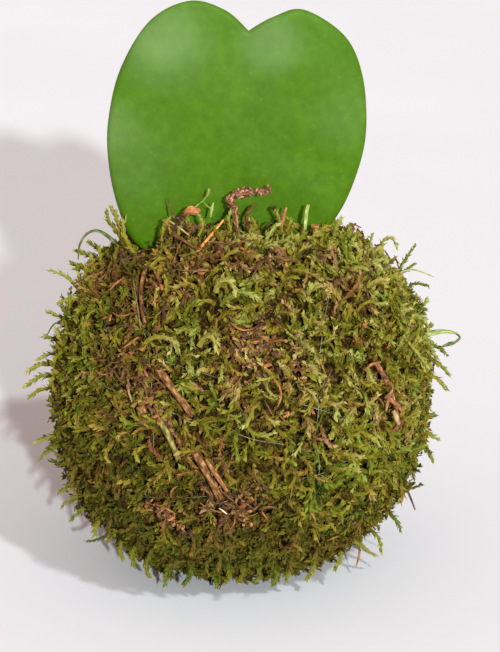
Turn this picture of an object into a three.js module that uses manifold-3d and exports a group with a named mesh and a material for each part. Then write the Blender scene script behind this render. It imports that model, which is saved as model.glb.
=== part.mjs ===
// A kokedama: one heart-shaped succulent leaf rooted in a soil ball, with a coat of
// living moss pressed round the soil and bound on with clear nylon thread.
// Millimetres, +Z up, the leaf's face towards -Y, the origin at the middle of the flat
// spot that the ball rests on.

import * as THREE from "three";
import { mergeVertices } from "three/addons/utils/BufferGeometryUtils.js";
import Module from "manifold-3d";

const wasm = await Module();
wasm.setup();

// Driving dimensions

const clearance = 0.3; // between any two pieces that touch

const ball = {
  centreHeight: 43.5, // of the widest level, above the surface it rests on
  halfWidth: 46.5, // of the moss mat, without the shoots that stand out of it
  halfHeightUp: 45.5,
  halfHeightDown: 47.3, // what would hang below the surface is pressed flat
  squarenessUp: 2.4, // of the upper half: 2 would be an ellipsoid
  squarenessDown: 1.9,
  lopsided: 1.5, // how far the +X shoulder swells out, and the -X one sinks
  lumpHeight: 0.75,
  hollow: { at: [-80, 59], depth: 3.2, width: 0.15 }, // beside the leaf's left edge
  grain: 0.55, // how far single corners of the mat stand in or out
  coatThickness: 7,
  coatDetail: 7, // subdivisions of an icosahedron's edge
  soilDetail: 4,
};

const shoots = {
  count: 524,
  longEvery: 3, // every third one is long and curved, the rest are short and straight
  long: { length: [9, 12.5], width: [2.8, 4], lean: [0.6, 1.15], curl: [-0.6, 0.6] },
  short: { length: [5.5, 8], width: [3, 4.2], lean: [0.5, 1.05] },
  ridge: 0.6, // height of the three-sided section over its width
  scatter: 0.08, // how unevenly they are spread, as a share of the ball's radius
  stray: 0.5, // radians to either side of the way that the neighbours lean, more at each new try
  sunk: 1.2,
  keepOff: 1.9, // from a shoot's axis to the face of a twig, a thread or the leaf
  offGround: 0.4,
  tries: 14,
};

const leaf = {
  baseHeight: 73.5, // of the blade's lowest point
  baseX: -3,
  roll: THREE.MathUtils.degToRad(4.3), // the top leans to +X
  lean: THREE.MathUtils.degToRad(2.5), // the top leans back
  thicknessEdge: 2.2,
  thicknessMiddle: 3.1,
  rimRadius: 1.5,
  cup: 2.2, // how far the edges curve back
  crease: 0.9, // depth of the fold below the notch
  creaseWidth: 7,
  creaseRise: [20, 70], // heights between which the fold comes in
  middleHeight: 36, // of the point that the rings close on
  outlineSteps: 46,
  rings: [0.975, 0.93, 0.62, 0.3], // from the rim towards the middle
};

// Half outlines of the blade from its base to its notch: across, up. The notch is a corner.
const leftEdge = [
  [0, 0], [-10, 2.8], [-21.2, 8.8], [-28.2, 17], [-31.9, 27.5], [-32.5, 38],
  [-30.2, 51], [-23.8, 63.2], [-14.6, 68.8], [-6, 67.2], [0, 62.6],
];
const rightEdge = [
  [0, 0], [9.7, 3.8], [19.2, 10.6], [25.7, 19], [29.4, 30], [30.5, 40.5],
  [28.4, 53.5], [23.2, 63], [12.8, 68.7], [5.6, 66.4], [0, 62.6],
];

const petiole = { heights: [9, 3, -13], radii: [1.2, 1.9, 1.6], sides: 7 };
const root = {
  count: 6,
  top: -12,
  radius: 0.6,
  tipRadius: 0.35,
  reach: 17,
  drop: 17,
  wave: 1.2,
  steps: 4,
  sides: 4,
};

// Each turn of thread is a ring of the directions at one angle from its axis.
const thread = {
  radius: 0.15,
  sides: 3,
  steps: 40,
  slope: [3.5, 7], // distances from a twig between which it comes down from its crossing
  turns: [
    { axis: [1, -0.28, 0.085], offset: 0.614 },
    { axis: [-1, -0.25, 0.08], offset: 0.66 },
    { axis: [-0.05, 1, -0.04], offset: 0.45 },
    { axis: [0.284, 0.213, 1], offset: -0.035 },
    { axis: [0.337, 0.419, 1], offset: 0.02 },
    { axis: [-0.2, 0.1, 1], offset: -0.24 },
  ],
};

// Woody scraps caught in the moss: their ends as [azimuth, elevation] degrees on the ball,
// azimuth 0 facing -Y and turning to +X.
const twigs = [
  { name: "twig_front_upper", from: [-26, 26], to: [-14, 15], radius: 1.05, bow: 0.6 },
  { name: "twig_front_lower", from: [-13, 4.5], to: [-6, -10], radius: 1.15, bow: 0.5 },
  { name: "straw_front", from: [-24, 12.5], to: [-18, 1.5], radius: 0.95, bow: 0.4 },
  { name: "rootlet_front", from: [-62, 60], to: [-36, 38], radius: 0.55, bow: 1 },
  { name: "twig_right", from: [46, 24], to: [55, 6], radius: 0.7, bow: 0.6 },
  { name: "twig_back_upper", from: [160, 32], to: [176, 20], radius: 0.9, bow: 0.6 },
  { name: "twig_back_lower", from: [206, -6], to: [222, -19], radius: 1.05, bow: 0.6 },
  { name: "straw_left", from: [-98, 10], to: [-88, -6], radius: 0.75, bow: 0.6 },
  { name: "straw_back_right", from: [118, -14], to: [128, 2], radius: 0.7, bow: 0.6 },
];
const twigShape = {
  sides: 5,
  steps: 4,
  taper: 0.72,
  standing: 0.35, // height of the axis over the mat, in radii
};

// A dry needle that leans towards the leaf, and a dead sprig that stands in front of it.
const needle = { path: [[-10.8, -19, 82.7], [-4.3, -5.5, 91]], radii: [0.4, 0.25], sides: 4 };
const drySprig = {
  path: [
    [-0.6, -8.4, 85.3], [-1.6, -6.5, 93.5], [-2.6, -5.6, 96.3],
    [-0.4, -5, 97.7], [2.5, -4.8, 97.9], [6.9, -4.6, 98.3],
  ],
  radii: [0.45, 0.6, 0.85, 0.9, 0.95, 0.6],
  sides: 5,
};

const colours = {
  moss: 0x7d7a30,
  leaf: 0x5f9130,
  soil: 0x3a2a1c,
  thread: 0xd9dcd8,
  bark: 0x7a5238,
  straw: 0xb57a3c,
};

// Small tools

const centre = new THREE.Vector3(0, 0, ball.centreHeight);
const right = new THREE.Vector3(1, 0, 0);
const backwards = new THREE.Vector3(0, 1, 0);
const upwards = new THREE.Vector3(0, 0, 1);

// Repeatable random numbers from 0 to 1 (mulberry32).
function randomFrom(seed) {
  let state = seed;
  return () => {
    state = (state + 0x6d2b79f5) | 0;
    let t = Math.imul(state ^ (state >>> 15), 1 | state);
    t = (t + Math.imul(t ^ (t >>> 7), 61 | t)) ^ t;
    return ((t ^ (t >>> 14)) >>> 0) / 2 ** 32;
  };
}

const between = (random, [low, high]) => low + (high - low) * random();

const vectors = (list) => list.map((p) => new THREE.Vector3(...p));

// The direction of an azimuth and an elevation in degrees.
function aimAt(place) {
  const [a, e] = place.map(THREE.MathUtils.degToRad);
  return new THREE.Vector3(Math.sin(a) * Math.cos(e), -Math.cos(a) * Math.cos(e), Math.sin(e));
}

// A solid from corners and triangles, turned the right side out.
function solidFrom(points, triangles) {
  const geometry = new THREE.BufferGeometry();
  const coordinates = points.flatMap((p) => [p.x, p.y, p.z]);
  geometry.setAttribute("position", new THREE.Float32BufferAttribute(coordinates, 3));
  geometry.setIndex(triangles.flat());
  const solid = solidOf(geometry);
  return solid.volume() > 0 ? solid : solidFrom(points, triangles.map(([a, b, c]) => [a, c, b]));
}

function solidOf(geometry) {
  const bare = geometry.clone();
  bare.deleteAttribute("normal");
  bare.deleteAttribute("uv");
  const merged = mergeVertices(bare, 1e-4);
  return new wasm.Manifold(new wasm.Mesh({
    numProp: 3,
    vertProperties: merged.attributes.position.array,
    triVerts: new Uint32Array(merged.index.array),
  }));
}

// Joins a list of solids, half by half.
function joined(solids) {
  if (solids.length === 1) return solids[0];
  const half = Math.ceil(solids.length / 2);
  return joined(solids.slice(0, half)).add(joined(solids.slice(half)));
}

const largestOf = (solid) => solid.decompose().reduce((a, b) => (a.volume() > b.volume() ? a : b));

function meshOf(name, solid, colour, roughness) {
  const { vertProperties, triVerts } = solid.getMesh();
  const geometry = new THREE.BufferGeometry();
  geometry.setAttribute("position", new THREE.BufferAttribute(vertProperties, 3));
  geometry.setIndex(new THREE.BufferAttribute(triVerts, 1));
  geometry.computeVertexNormals();
  const material = new THREE.MeshStandardMaterial({ color: colour, roughness, metalness: 0 });
  const mesh = new THREE.Mesh(geometry, material);
  mesh.name = name;
  return mesh;
}

// The section of a tube at one point: a regular polygon across `along`, squashed by
// `flatness` in the direction that `guide` gives.
function section(point, along, guide, radius, sides, flatness) {
  const side = along.clone().cross(guide).normalize();
  const out = side.clone().cross(along);
  return Array.from({ length: sides }, (_, k) => {
    const angle = (2 * Math.PI * k) / sides + Math.PI / 2;
    return point.clone()
      .addScaledVector(side, radius * Math.cos(angle))
      .addScaledVector(out, flatness * radius * Math.sin(angle));
  });
}

// Triangles between section a and section b of a tube.
function wall(a, b, sides) {
  return Array.from({ length: sides }, (_, k) => {
    const next = (k + 1) % sides;
    const [p, q, r, s] = [a * sides + k, a * sides + next, b * sides + k, b * sides + next];
    return [[p, q, r], [q, s, r]];
  }).flat();
}

// A closed tube along points, flat at both ends, or pointed where the last radius is 0.
function tube(points, radii, sides, { up, flatness = 1 } = {}) {
  const last = points.length - 1;
  const pointed = radii[last] === 0;
  const sections = pointed ? last : last + 1;
  const vertices = points.slice(0, sections).flatMap((point, i) => {
    const along = points[Math.min(i + 1, last)].clone().sub(points[Math.max(i - 1, 0)]).normalize();
    return section(point, along, up ?? point.clone().sub(centre), radii[i], sides, flatness);
  });
  const triangles = Array.from({ length: sections - 1 }, (_, i) => wall(i, i + 1, sides)).flat();
  const end = (sections - 1) * sides;
  for (let k = 1; k < sides - 1; k++) {
    triangles.push([0, k + 1, k]);
    if (!pointed) triangles.push([end, end + k, end + k + 1]);
  }
  if (pointed) {
    vertices.push(points[last]);
    for (let k = 0; k < sides; k++) triangles.push([end + k, end + ((k + 1) % sides), vertices.length - 1]);
  }
  return solidFrom(vertices, triangles);
}

// A tube that runs round through points and closes on itself.
function ringTube(points, radius, sides) {
  const count = points.length;
  const vertices = points.flatMap((point, i) => {
    const along = points[(i + 1) % count].clone().sub(points[(i + count - 1) % count]).normalize();
    return section(point, along, point.clone().sub(centre), radius, sides, 1);
  });
  return solidFrom(vertices, points.flatMap((_, i) => wall(i, (i + 1) % count, sides)));
}

// Points along a polyline, no more than `pace` apart.
function dense(points, closed, pace = 1.2) {
  const spans = closed ? points.length : points.length - 1;
  const made = Array.from({ length: spans }, (_, i) => {
    const [from, to] = [points[i], points[(i + 1) % points.length]];
    const steps = Math.ceil(from.distanceTo(to) / pace);
    return Array.from({ length: steps }, (_, k) => from.clone().lerp(to, k / steps));
  }).flat();
  return closed ? made : [...made, points[spans]];
}

// The ball

const hollowAim = aimAt(ball.hollow.at);

// Distance from the ball's centre to a smooth ball's face, `inset` inside the mat.
function smoothRadius(direction, inset) {
  const [halfHeight, squareness] = direction.z > 0
    ? [ball.halfHeightUp, ball.squarenessUp]
    : [ball.halfHeightDown, ball.squarenessDown];
  const across = Math.hypot(direction.x, direction.y) / (ball.halfWidth - inset);
  const upright = Math.abs(direction.z) / (halfHeight - inset);
  return (across ** squareness + upright ** squareness) ** (-1 / squareness);
}

// The same to the mat's face, which leans to one side and has broad low lumps and one hollow.
function matRadius(direction) {
  const { x, y, z } = direction;
  const lumps = Math.sin(4.1 * x + 1.3) * Math.cos(3.7 * z - 0.4) + 0.7 * Math.sin(5.3 * y - 2.6 * z + 0.8);
  const fromHollow = direction.angleTo(hollowAim) / ball.hollow.width;
  return smoothRadius(direction, 0) + ball.lopsided * x * z + ball.lumpHeight * lumps
    - ball.hollow.depth * Math.exp(-(fromHollow ** 2));
}

// Single corners of the mat stand in or out by a formula that is the same each time.
const grainAt = ({ x, y, z }) => ball.grain * Math.sin(31 * x + 17 * y) * Math.cos(23 * z - 11 * x);

// A point over the mat's face, in the direction of an azimuth and an elevation in degrees.
function onBall(place, height) {
  const direction = aimAt(place);
  return centre.clone().addScaledVector(direction, matRadius(direction) + height);
}

function ballSolid(detail, radiusOf) {
  const geometry = new THREE.IcosahedronGeometry(1, detail);
  const position = geometry.attributes.position;
  for (let i = 0; i < position.count; i++) {
    const direction = new THREE.Vector3().fromBufferAttribute(position, i).normalize();
    const point = centre.clone().addScaledVector(direction, radiusOf(direction));
    position.setXYZ(i, point.x, point.y, point.z);
  }
  return solidOf(geometry);
}

// Everything above the surface that the ball rests on.
function aboveGround() {
  const size = 8 * ball.halfWidth;
  return solidOf(new THREE.BoxGeometry(size, size, size).translate(0, 0, size / 2));
}

// The leaf

// The closed outline of the blade, `grow` wider all round, counted round from its base.
function bladeOutline(grow) {
  const curve = (edge) => new THREE.SplineCurve(edge.map(([x, y]) => new THREE.Vector2(x, y)));
  const half = leaf.outlineSteps / 2;
  const rising = curve(rightEdge).getSpacedPoints(half).slice(0, half);
  const falling = curve(leftEdge).getSpacedPoints(half).slice(1).reverse();
  const middle = new THREE.Vector2(0, leaf.middleHeight);
  return [...rising, ...falling].map((p) => {
    const arm = p.clone().sub(middle);
    return middle.clone().addScaledVector(arm, 1 + grow / arm.length());
  });
}

// How far the middle of the blade stands towards +Y.
function bladeSag(across, up) {
  const halfBlade = rightEdge[5][0];
  const fold = leaf.crease * Math.exp(-((across / leaf.creaseWidth) ** 2));
  return leaf.cup * (across / halfBlade) ** 2 + fold * THREE.MathUtils.smoothstep(up, ...leaf.creaseRise);
}

// Puts a point of the leaf's own frame (across, towards the back, up from its base) in place.
function placeLeaf(x, y, z) {
  return new THREE.Vector3(x, y, z)
    .applyAxisAngle(right, -leaf.lean)
    .applyAxisAngle(backwards, leaf.roll)
    .add(new THREE.Vector3(leaf.baseX, 0, leaf.baseHeight));
}

// A point on one face of the blade, `share` of the way from its middle to an outline point.
function onBlade(p, share, sign, grow) {
  const middle = new THREE.Vector2(0, leaf.middleHeight);
  const flat = middle.clone().lerp(p, share);
  const fromRim = Math.min(flat.distanceTo(p) / leaf.rimRadius, 1);
  const rounding = Math.sqrt(1 - (1 - fromRim) ** 2);
  const thickness = THREE.MathUtils.lerp(leaf.thicknessMiddle, leaf.thicknessEdge, share);
  const out = share < 1 ? rounding * thickness / 2 + grow : 0;
  return placeLeaf(flat.x, bladeSag(flat.x, flat.y) + sign * out, flat.y);
}

// Rings of points from the rim inwards on both faces, each closed by a fan at the middle.
function bladeSolid(grow) {
  const outline = bladeOutline(grow);
  const count = outline.length;
  const vertices = outline.map((p) => onBlade(p, 1, 1, grow));
  const triangles = [];
  for (const sign of [1, -1]) {
    let outer = 0;
    for (const share of leaf.rings) {
      const inner = vertices.length;
      vertices.push(...outline.map((p) => onBlade(p, share, sign, grow)));
      for (let i = 0; i < count; i++) {
        const j = (i + 1) % count;
        const strip = [[outer + i, outer + j, inner + j], [outer + i, inner + j, inner + i]];
        triangles.push(...strip.map(([a, b, c]) => (sign > 0 ? [c, b, a] : [a, b, c])));
      }
      outer = inner;
    }
    vertices.push(onBlade(outline[0], 0, sign, grow));
    for (let i = 0; i < count; i++) {
      const [a, b, c] = [outer + i, outer + ((i + 1) % count), vertices.length - 1];
      triangles.push(sign > 0 ? [c, b, a] : [a, b, c]);
    }
  }
  return solidFrom(vertices, triangles);
}

function petioleSolid(grow) {
  const points = petiole.heights.map((up, i) => placeLeaf(0, bladeSag(0, up), up - (i === 2 ? grow : 0)));
  return tube(points, petiole.radii.map((r) => r + grow), petiole.sides, { up: backwards });
}

// One root: it runs out and down from the stalk's end and sways to the side.
function rootSolid(index, grow) {
  const turn = (2 * Math.PI * (index + 0.3)) / root.count;
  const start = placeLeaf(0, 0, root.top);
  const reach = root.reach * (0.9 + 0.08 * (index % 3));
  const points = Array.from({ length: root.steps + 1 }, (_, k) => {
    const share = (k / root.steps) * (k === root.steps ? 1 + grow / root.reach : 1);
    const sway = root.wave * share * Math.sin(5 * share + 2 * index);
    const fall = root.drop * share * (0.35 + 0.65 * share);
    return new THREE.Vector3(reach * share, sway, -fall).applyAxisAngle(upwards, turn).add(start);
  });
  const radiusAt = (share) => THREE.MathUtils.lerp(root.radius, root.tipRadius, share) + grow;
  const radii = points.map((_, k) => radiusAt(k / root.steps));
  return tube(points, radii, root.sides, { up: upwards });
}

// The whole plant, or the space that it needs: `grow` wider on every face.
function plantSolid(grow) {
  const roots = Array.from({ length: root.count }, (_, i) => rootSolid(i, grow));
  return joined([bladeSolid(grow), petioleSolid(grow), ...roots]);
}

// True where a point is nearer the blade than `gap`.
function nearBlade(point, outline, gap) {
  const own = point.clone()
    .sub(new THREE.Vector3(leaf.baseX, 0, leaf.baseHeight))
    .applyAxisAngle(backwards, -leaf.roll)
    .applyAxisAngle(right, leaf.lean);
  if (Math.abs(own.y - bladeSag(own.x, own.z)) > leaf.thicknessMiddle / 2 + gap) return false;
  const middle = new THREE.Vector2(0, leaf.middleHeight);
  const arm = new THREE.Vector2(own.x, own.z).sub(middle);
  const bearing = arm.angle();
  const off = (p) => Math.abs(Math.sin((p.clone().sub(middle).angle() - bearing) / 2));
  const nearest = outline.reduce((a, b) => (off(b) < off(a) ? b : a));
  return arm.length() < nearest.distanceTo(middle) + gap;
}

// Thread and twigs

// How far the thread's axis stands over the mat at a point of it: more where it crosses a twig.
function threadHeight(point, obstacles) {
  const free = ball.grain + clearance + thread.radius;
  const rises = obstacles.map(({ points, radius }) => {
    const crossing = radius * (1 + twigShape.standing) + 2 * clearance + thread.radius;
    const distance = Math.min(...points.map((q) => q.distanceTo(point)));
    return (crossing - free) * (1 - THREE.MathUtils.smoothstep(distance, ...thread.slope));
  });
  return free + Math.max(0, ...rises);
}

function turnPoints({ axis, offset }, obstacles) {
  const main = new THREE.Vector3(...axis).normalize();
  const first = new THREE.Vector3(0.3, 0.5, 0.81).cross(main).normalize();
  const second = main.clone().cross(first);
  const ringRadius = Math.sqrt(1 - offset ** 2);
  return Array.from({ length: thread.steps }, (_, i) => {
    const angle = (2 * Math.PI * i) / thread.steps;
    const direction = main.clone().multiplyScalar(offset)
      .addScaledVector(first, ringRadius * Math.cos(angle))
      .addScaledVector(second, ringRadius * Math.sin(angle));
    const point = centre.clone().addScaledVector(direction, matRadius(direction));
    return point.addScaledVector(direction, threadHeight(point, obstacles));
  });
}

const threadSolid = (turns) => joined(turns.map((points) => ringTube(points, thread.radius, thread.sides)));

function twigScrap({ name, from, to, radius, bow }) {
  const shares = Array.from({ length: twigShape.steps + 1 }, (_, i) => i / twigShape.steps);
  const path = shares.map((share) => {
    const azimuth = THREE.MathUtils.lerp(from[0], to[0], share) + bow * Math.sin(Math.PI * share);
    const elevation = THREE.MathUtils.lerp(from[1], to[1], share);
    return onBall([azimuth, elevation], radius * twigShape.standing);
  });
  const radii = shares.map((share) => radius * THREE.MathUtils.lerp(1, twigShape.taper, share));
  const colour = name.startsWith("straw") ? colours.straw : colours.bark;
  return { name, path, radii, sides: twigShape.sides, colour };
}

// The same path with both ends drawn out by `grow`.
function drawnOut(path, grow) {
  const last = path.length - 1;
  const beyond = (end, next) => path[end].clone().add(path[end].clone().sub(path[next]).setLength(grow));
  return [beyond(0, 1), ...path.slice(1, last), beyond(last, last - 1)];
}

// A scrap of plant stem along its path, or with `grow` the groove or hole that it lies in.
function scrapSolid({ path, radii, sides, up }, grow) {
  const wider = grow / Math.cos(Math.PI / sides);
  return tube(grow ? drawnOut(path, grow) : path, radii.map((r) => r + wider), sides, { up });
}

// Moss

// Directions spread evenly over a sphere.
function evenDirections(count) {
  const golden = Math.PI * (3 - Math.sqrt(5));
  return Array.from({ length: count }, (_, i) => {
    const z = 1 - (2 * (i + 0.5)) / count;
    const flat = Math.sqrt(1 - z * z);
    return new THREE.Vector3(flat * Math.cos(i * golden), flat * Math.sin(i * golden), z);
  });
}

// How far the shoots of one place turn away from hanging straight down, in radians: they
// lie the same way as their neighbours, as moss does, and slowly turn from patch to patch.
const swirl = ({ x, y, z }) =>
  1.5 * Math.sin(3.1 * x + 2.3 * z + 0.6) + 1.2 * Math.sin(3.7 * y - 2.9 * x + 1.9);

// The axis of one shoot, from its sunk root to its tip, with a bend halfway where it curls.
function shootPath(direction, kind, stray, random) {
  const surface = centre.clone().addScaledVector(direction, matRadius(direction));
  const down = new THREE.Vector3(0, 0, -1).projectOnPlane(direction).normalize();
  const sweep = down.applyAxisAngle(direction, swirl(direction) + between(random, [-stray, stray]));
  const lean = between(random, kind.lean);
  const length = between(random, kind.length);
  const aim = direction.clone().multiplyScalar(Math.cos(lean)).addScaledVector(sweep, Math.sin(lean));
  const sunken = surface.clone().addScaledVector(aim, -shoots.sunk / Math.cos(lean));
  if (!kind.curl) return [sunken, surface.addScaledVector(aim, length)];
  const middle = surface.addScaledVector(aim, length / 2);
  const hinge = direction.clone().cross(aim).normalize();
  const outer = aim.clone().applyAxisAngle(hinge, between(random, kind.curl));
  return [sunken, middle, middle.clone().addScaledVector(outer, length / 2)];
}

function isClear(path, obstacles, outline) {
  const along = dense(path, false, 1.5).slice(1);
  if (along.some((p) => p.z < shoots.offGround || nearBlade(p, outline, shoots.keepOff))) return false;
  return along.every((p) => obstacles.every(({ points, radius }) =>
    points.every((q) => p.distanceTo(q) > radius + shoots.keepOff)));
}

function shootSolids(obstacles) {
  const random = randomFrom(41);
  const outline = bladeOutline(0);
  const made = [];
  evenDirections(shoots.count).forEach((direction, i) => {
    const kind = i % shoots.longEvery ? shoots.short : shoots.long;
    for (let tried = 0; tried < shoots.tries; tried++) {
      const away = new THREE.Vector3(random() - 0.5, random() - 0.5, random() - 0.5);
      const place = direction.clone().addScaledVector(away, shoots.scatter).normalize();
      const path = shootPath(place, kind, shoots.stray * (1 + tried), random);
      const radius = between(random, kind.width) / Math.sqrt(3);
      if (!isClear(path, obstacles, outline)) continue;
      const radii = path.length > 2 ? [radius * 0.85, radius, 0] : [radius, 0];
      made.push(tube(path, radii, 3, { flatness: (shoots.ridge * 2) / Math.sqrt(3) }));
      return;
    }
  });
  return made;
}

function mossSolid(obstacles, scraps) {
  const mat = ballSolid(ball.coatDetail, (d) => matRadius(d) + grainAt(d));
  const hollow = ballSolid(ball.soilDetail, (d) => smoothRadius(d, ball.coatThickness) + clearance);
  const grooves = scraps.map((scrap) => scrapSolid(scrap, clearance));
  const room = joined([hollow, bladeSolid(clearance), ...grooves]);
  return largestOf(joined([mat, ...shootSolids(obstacles)]).intersect(aboveGround()).subtract(room));
}

function soilSolid() {
  const whole = ballSolid(ball.soilDetail, (d) => smoothRadius(d, ball.coatThickness));
  return largestOf(whole.subtract(plantSolid(clearance)));
}

// The assembly

const scraps = [
  ...twigs.map(twigScrap),
  { ...needle, name: "needle_front", path: vectors(needle.path), colour: colours.straw },
  { ...drySprig, name: "dry_sprig", path: vectors(drySprig.path), up: backwards, colour: colours.bark },
];
const obstacles = scraps.map(({ path, radii }) => ({
  points: dense(path, false),
  radius: Math.max(...radii),
}));
const turns = thread.turns.map((turn) => turnPoints(turn, obstacles));
const windings = turns.map((points) => ({ points: dense(points, true), radius: thread.radius }));

const kokedama = new THREE.Group();
kokedama.add(meshOf("moss_coat", mossSolid([...obstacles, ...windings], scraps), colours.moss, 0.9));
kokedama.add(meshOf("soil_ball", soilSolid(), colours.soil, 1));
kokedama.add(meshOf("heart_leaf", plantSolid(0), colours.leaf, 0.45));
kokedama.add(meshOf("binding_thread", threadSolid(turns), colours.thread, 0.25));
for (const scrap of scraps) kokedama.add(meshOf(scrap.name, scrapSolid(scrap, 0), scrap.colour, 0.85));

export default kokedama;
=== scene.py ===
import bpy
import numpy as np
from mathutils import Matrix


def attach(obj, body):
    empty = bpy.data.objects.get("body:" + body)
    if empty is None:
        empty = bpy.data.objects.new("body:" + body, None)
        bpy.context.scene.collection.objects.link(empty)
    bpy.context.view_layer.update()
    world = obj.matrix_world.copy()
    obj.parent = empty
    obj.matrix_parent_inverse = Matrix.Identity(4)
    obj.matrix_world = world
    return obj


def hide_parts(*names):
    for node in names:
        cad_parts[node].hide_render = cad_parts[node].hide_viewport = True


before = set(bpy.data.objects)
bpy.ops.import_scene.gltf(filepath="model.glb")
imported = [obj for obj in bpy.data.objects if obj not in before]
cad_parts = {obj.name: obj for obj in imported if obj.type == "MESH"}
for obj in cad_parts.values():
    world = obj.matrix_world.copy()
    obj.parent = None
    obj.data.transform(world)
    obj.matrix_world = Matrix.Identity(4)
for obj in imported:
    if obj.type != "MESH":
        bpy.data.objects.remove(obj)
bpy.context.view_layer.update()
mm = 0.001
upward = np.array([0.0, 0.0, 1.0])
goldenAngle = np.pi * (3 - np.sqrt(5))

# Small tools


def linearColour(code):
    # sRGB hex to linear red, green, blue and a full alpha
    channel = np.array([int(code[i:i + 2], 16) for i in (1, 3, 5)]) / 255
    linear = np.where(channel <= 0.04045, channel / 12.92, ((channel + 0.055) / 1.055) ** 2.4)
    return (*map(float, linear), 1.0)


def unit(vectors):
    return vectors / np.maximum(np.linalg.norm(vectors, axis=-1, keepdims=True), 1e-9)


def dot(a, b):
    return (a * b).sum(-1, keepdims=True)


def mix(a, b, share):
    return a + (b - a) * share


def smoothStep(value, low, high):
    # 0 below `low` and 1 above `high`, with no kink between them
    share = np.clip((value - low) / (high - low), 0, 1)
    return share * share * (3 - 2 * share)


def ripple(points, wavelength, waves, seed):
    # sum of plane sine waves in seeded directions: even noise of about -1 to 1
    random = np.random.default_rng(seed)
    aims = unit(random.normal(size=(waves, 3))) * random.uniform(0.7, 1.4, (waves, 1))
    phases = random.uniform(0, 2 * np.pi, waves)
    return np.sin(points @ aims.T * 2 * np.pi / wavelength + phases).sum(-1) / np.sqrt(waves)


def smoothCurve(points, count):
    # uniform Catmull-Rom through the points, drawn with 40 steps to a span, then `count` points
    # evenly spaced along it
    p = np.array(points, float)
    last = len(p) - 1
    t = np.linspace(0, last, 40 * last + 1)
    i = np.minimum(t.astype(int), last - 1)
    w = (t - i)[:, None]
    before, a, b, after = p[np.maximum(i - 1, 0)], p[i], p[i + 1], p[np.minimum(i + 2, last)]
    leave, arrive = (b - before) / 2, (after - a) / 2
    fine = (2 * a - 2 * b + leave + arrive) * w ** 3
    fine += (3 * b - 3 * a - 2 * leave - arrive) * w ** 2 + leave * w + a
    run = np.r_[0, np.cumsum(np.linalg.norm(np.diff(fine, axis=0), axis=1))]
    even = np.linspace(0, run[-1], count)
    return np.stack([np.interp(even, run, axis) for axis in fine.T], 1)


def gridFaces(rows, columns, closedRows=False):
    # triangles of a grid that closes on itself across its columns, and along its rows if asked
    r = np.arange(rows if closedRows else rows - 1)[:, None]
    c = np.arange(columns)[None]
    a, b = r * columns + c, r * columns + (c + 1) % columns
    d, e = (r + 1) % rows * columns + c, (r + 1) % rows * columns + (c + 1) % columns
    return np.stack([np.stack([a, b, e], -1), np.stack([a, e, d], -1)], 2).reshape(-1, 3)


def facingOut(points, faces):
    # turns a closed shell round if its volume comes out negative
    a, b, c = (points[faces[:, i]] for i in range(3))
    return faces if (np.cross(a, b) * c).sum() > 0 else faces[:, ::-1]


def cappedGrid(rows):
    # a closed shell: a grid of points (rows, columns, 3) with a point in the middle of each end
    count, columns = rows.shape[:2]
    ends = np.stack([rows[0].mean(0), rows[-1].mean(0)])
    points = np.concatenate([rows.reshape(-1, 3), ends])
    c = np.arange(columns)
    nextC, first, last = (c + 1) % columns, count * columns, (count - 1) * columns
    bottom = np.stack([np.full(columns, first), nextC, c], 1)
    top = np.stack([np.full(columns, first + 1), last + c, last + nextC], 1)
    return points, facingOut(points, np.concatenate([gridFaces(count, columns), bottom, top]))


def tubeRows(path, radii, guide, sides, flatness=1.0):
    # rings round a path: the radius may differ by ring and by side, `guide` is each ring's top,
    # and the rings are `flatness` as high as they are wide
    along = unit(np.gradient(path, axis=0))
    side = unit(np.cross(along, guide))
    out = np.cross(side, along)
    angle = 2 * np.pi * np.arange(sides) / sides
    spoke = np.cos(angle)[:, None] * side[:, None] + flatness * np.sin(angle)[:, None] * out[:, None]
    return path[:, None] + spoke * np.broadcast_to(radii, (len(path), sides))[..., None]


def joined(shells):
    # several (points, faces) as one
    starts = np.cumsum([0] + [len(points) for points, _ in shells[:-1]])
    faces = [faces + start for (_, faces), start in zip(shells, starts)]
    return np.concatenate([points for points, _ in shells]), np.concatenate(faces)


def addPiece(name, points, faces, material, slot, replaced=(), uv=None, uvName="grain", smooth=True):
    mesh = bpy.data.meshes.new(name)
    mesh.vertices.add(len(points))
    mesh.vertices.foreach_set("co", (points * mm).astype(np.float32).ravel())
    mesh.loops.add(faces.size)
    mesh.loops.foreach_set("vertex_index", faces.astype(np.int32).ravel())
    mesh.polygons.add(len(faces))
    mesh.polygons.foreach_set("loop_start", np.arange(0, faces.size, 3, dtype=np.int32))
    mesh.polygons.foreach_set("use_smooth", np.array(np.broadcast_to(smooth, len(faces))))
    if uv is not None:
        layer = mesh.uv_layers.new(name=uvName)
        layer.uv.foreach_set("vector", uv[faces.ravel()].astype(np.float32).ravel())
    mesh.update(calc_edges=True)
    mesh.materials.append(material)
    piece = bpy.data.objects.new(name, mesh)
    bpy.context.scene.collection.objects.link(piece)
    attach(piece, "root")
    if replaced:
        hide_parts(*replaced)
    print(f"{name}: {len(faces)} triangles")


def setInputs(tree, node, inputs):
    # an input takes a socket, which is linked to it, or a plain value
    for socket, value in inputs.items():
        if isinstance(value, bpy.types.NodeSocket):
            tree.links.new(value, node.inputs[socket])
        else:
            node.inputs[socket].default_value = value


def addNode(tree, kind, inputs=None, **settings):
    node = tree.nodes.new("ShaderNode" + kind)
    for name, value in settings.items():
        setattr(node, name, value)
    setInputs(tree, node, inputs or {})
    return node


def perMetre(size):
    # a pattern's scale on coordinates in metres, from the size in mm of its features, rounded
    return round(1 / (size * mm))


def addRamp(tree, value, stops):
    # stops: (place from 0 to 1, hex colour)
    ramp = addNode(tree, "ValToRGB", {"Fac": value})
    elements = ramp.color_ramp.elements
    while len(elements) < len(stops):
        elements.new(0.5)
    for element, (place, code) in zip(elements, stops):
        element.position, element.color = place, linearColour(code)
    return ramp.outputs["Color"]


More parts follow.
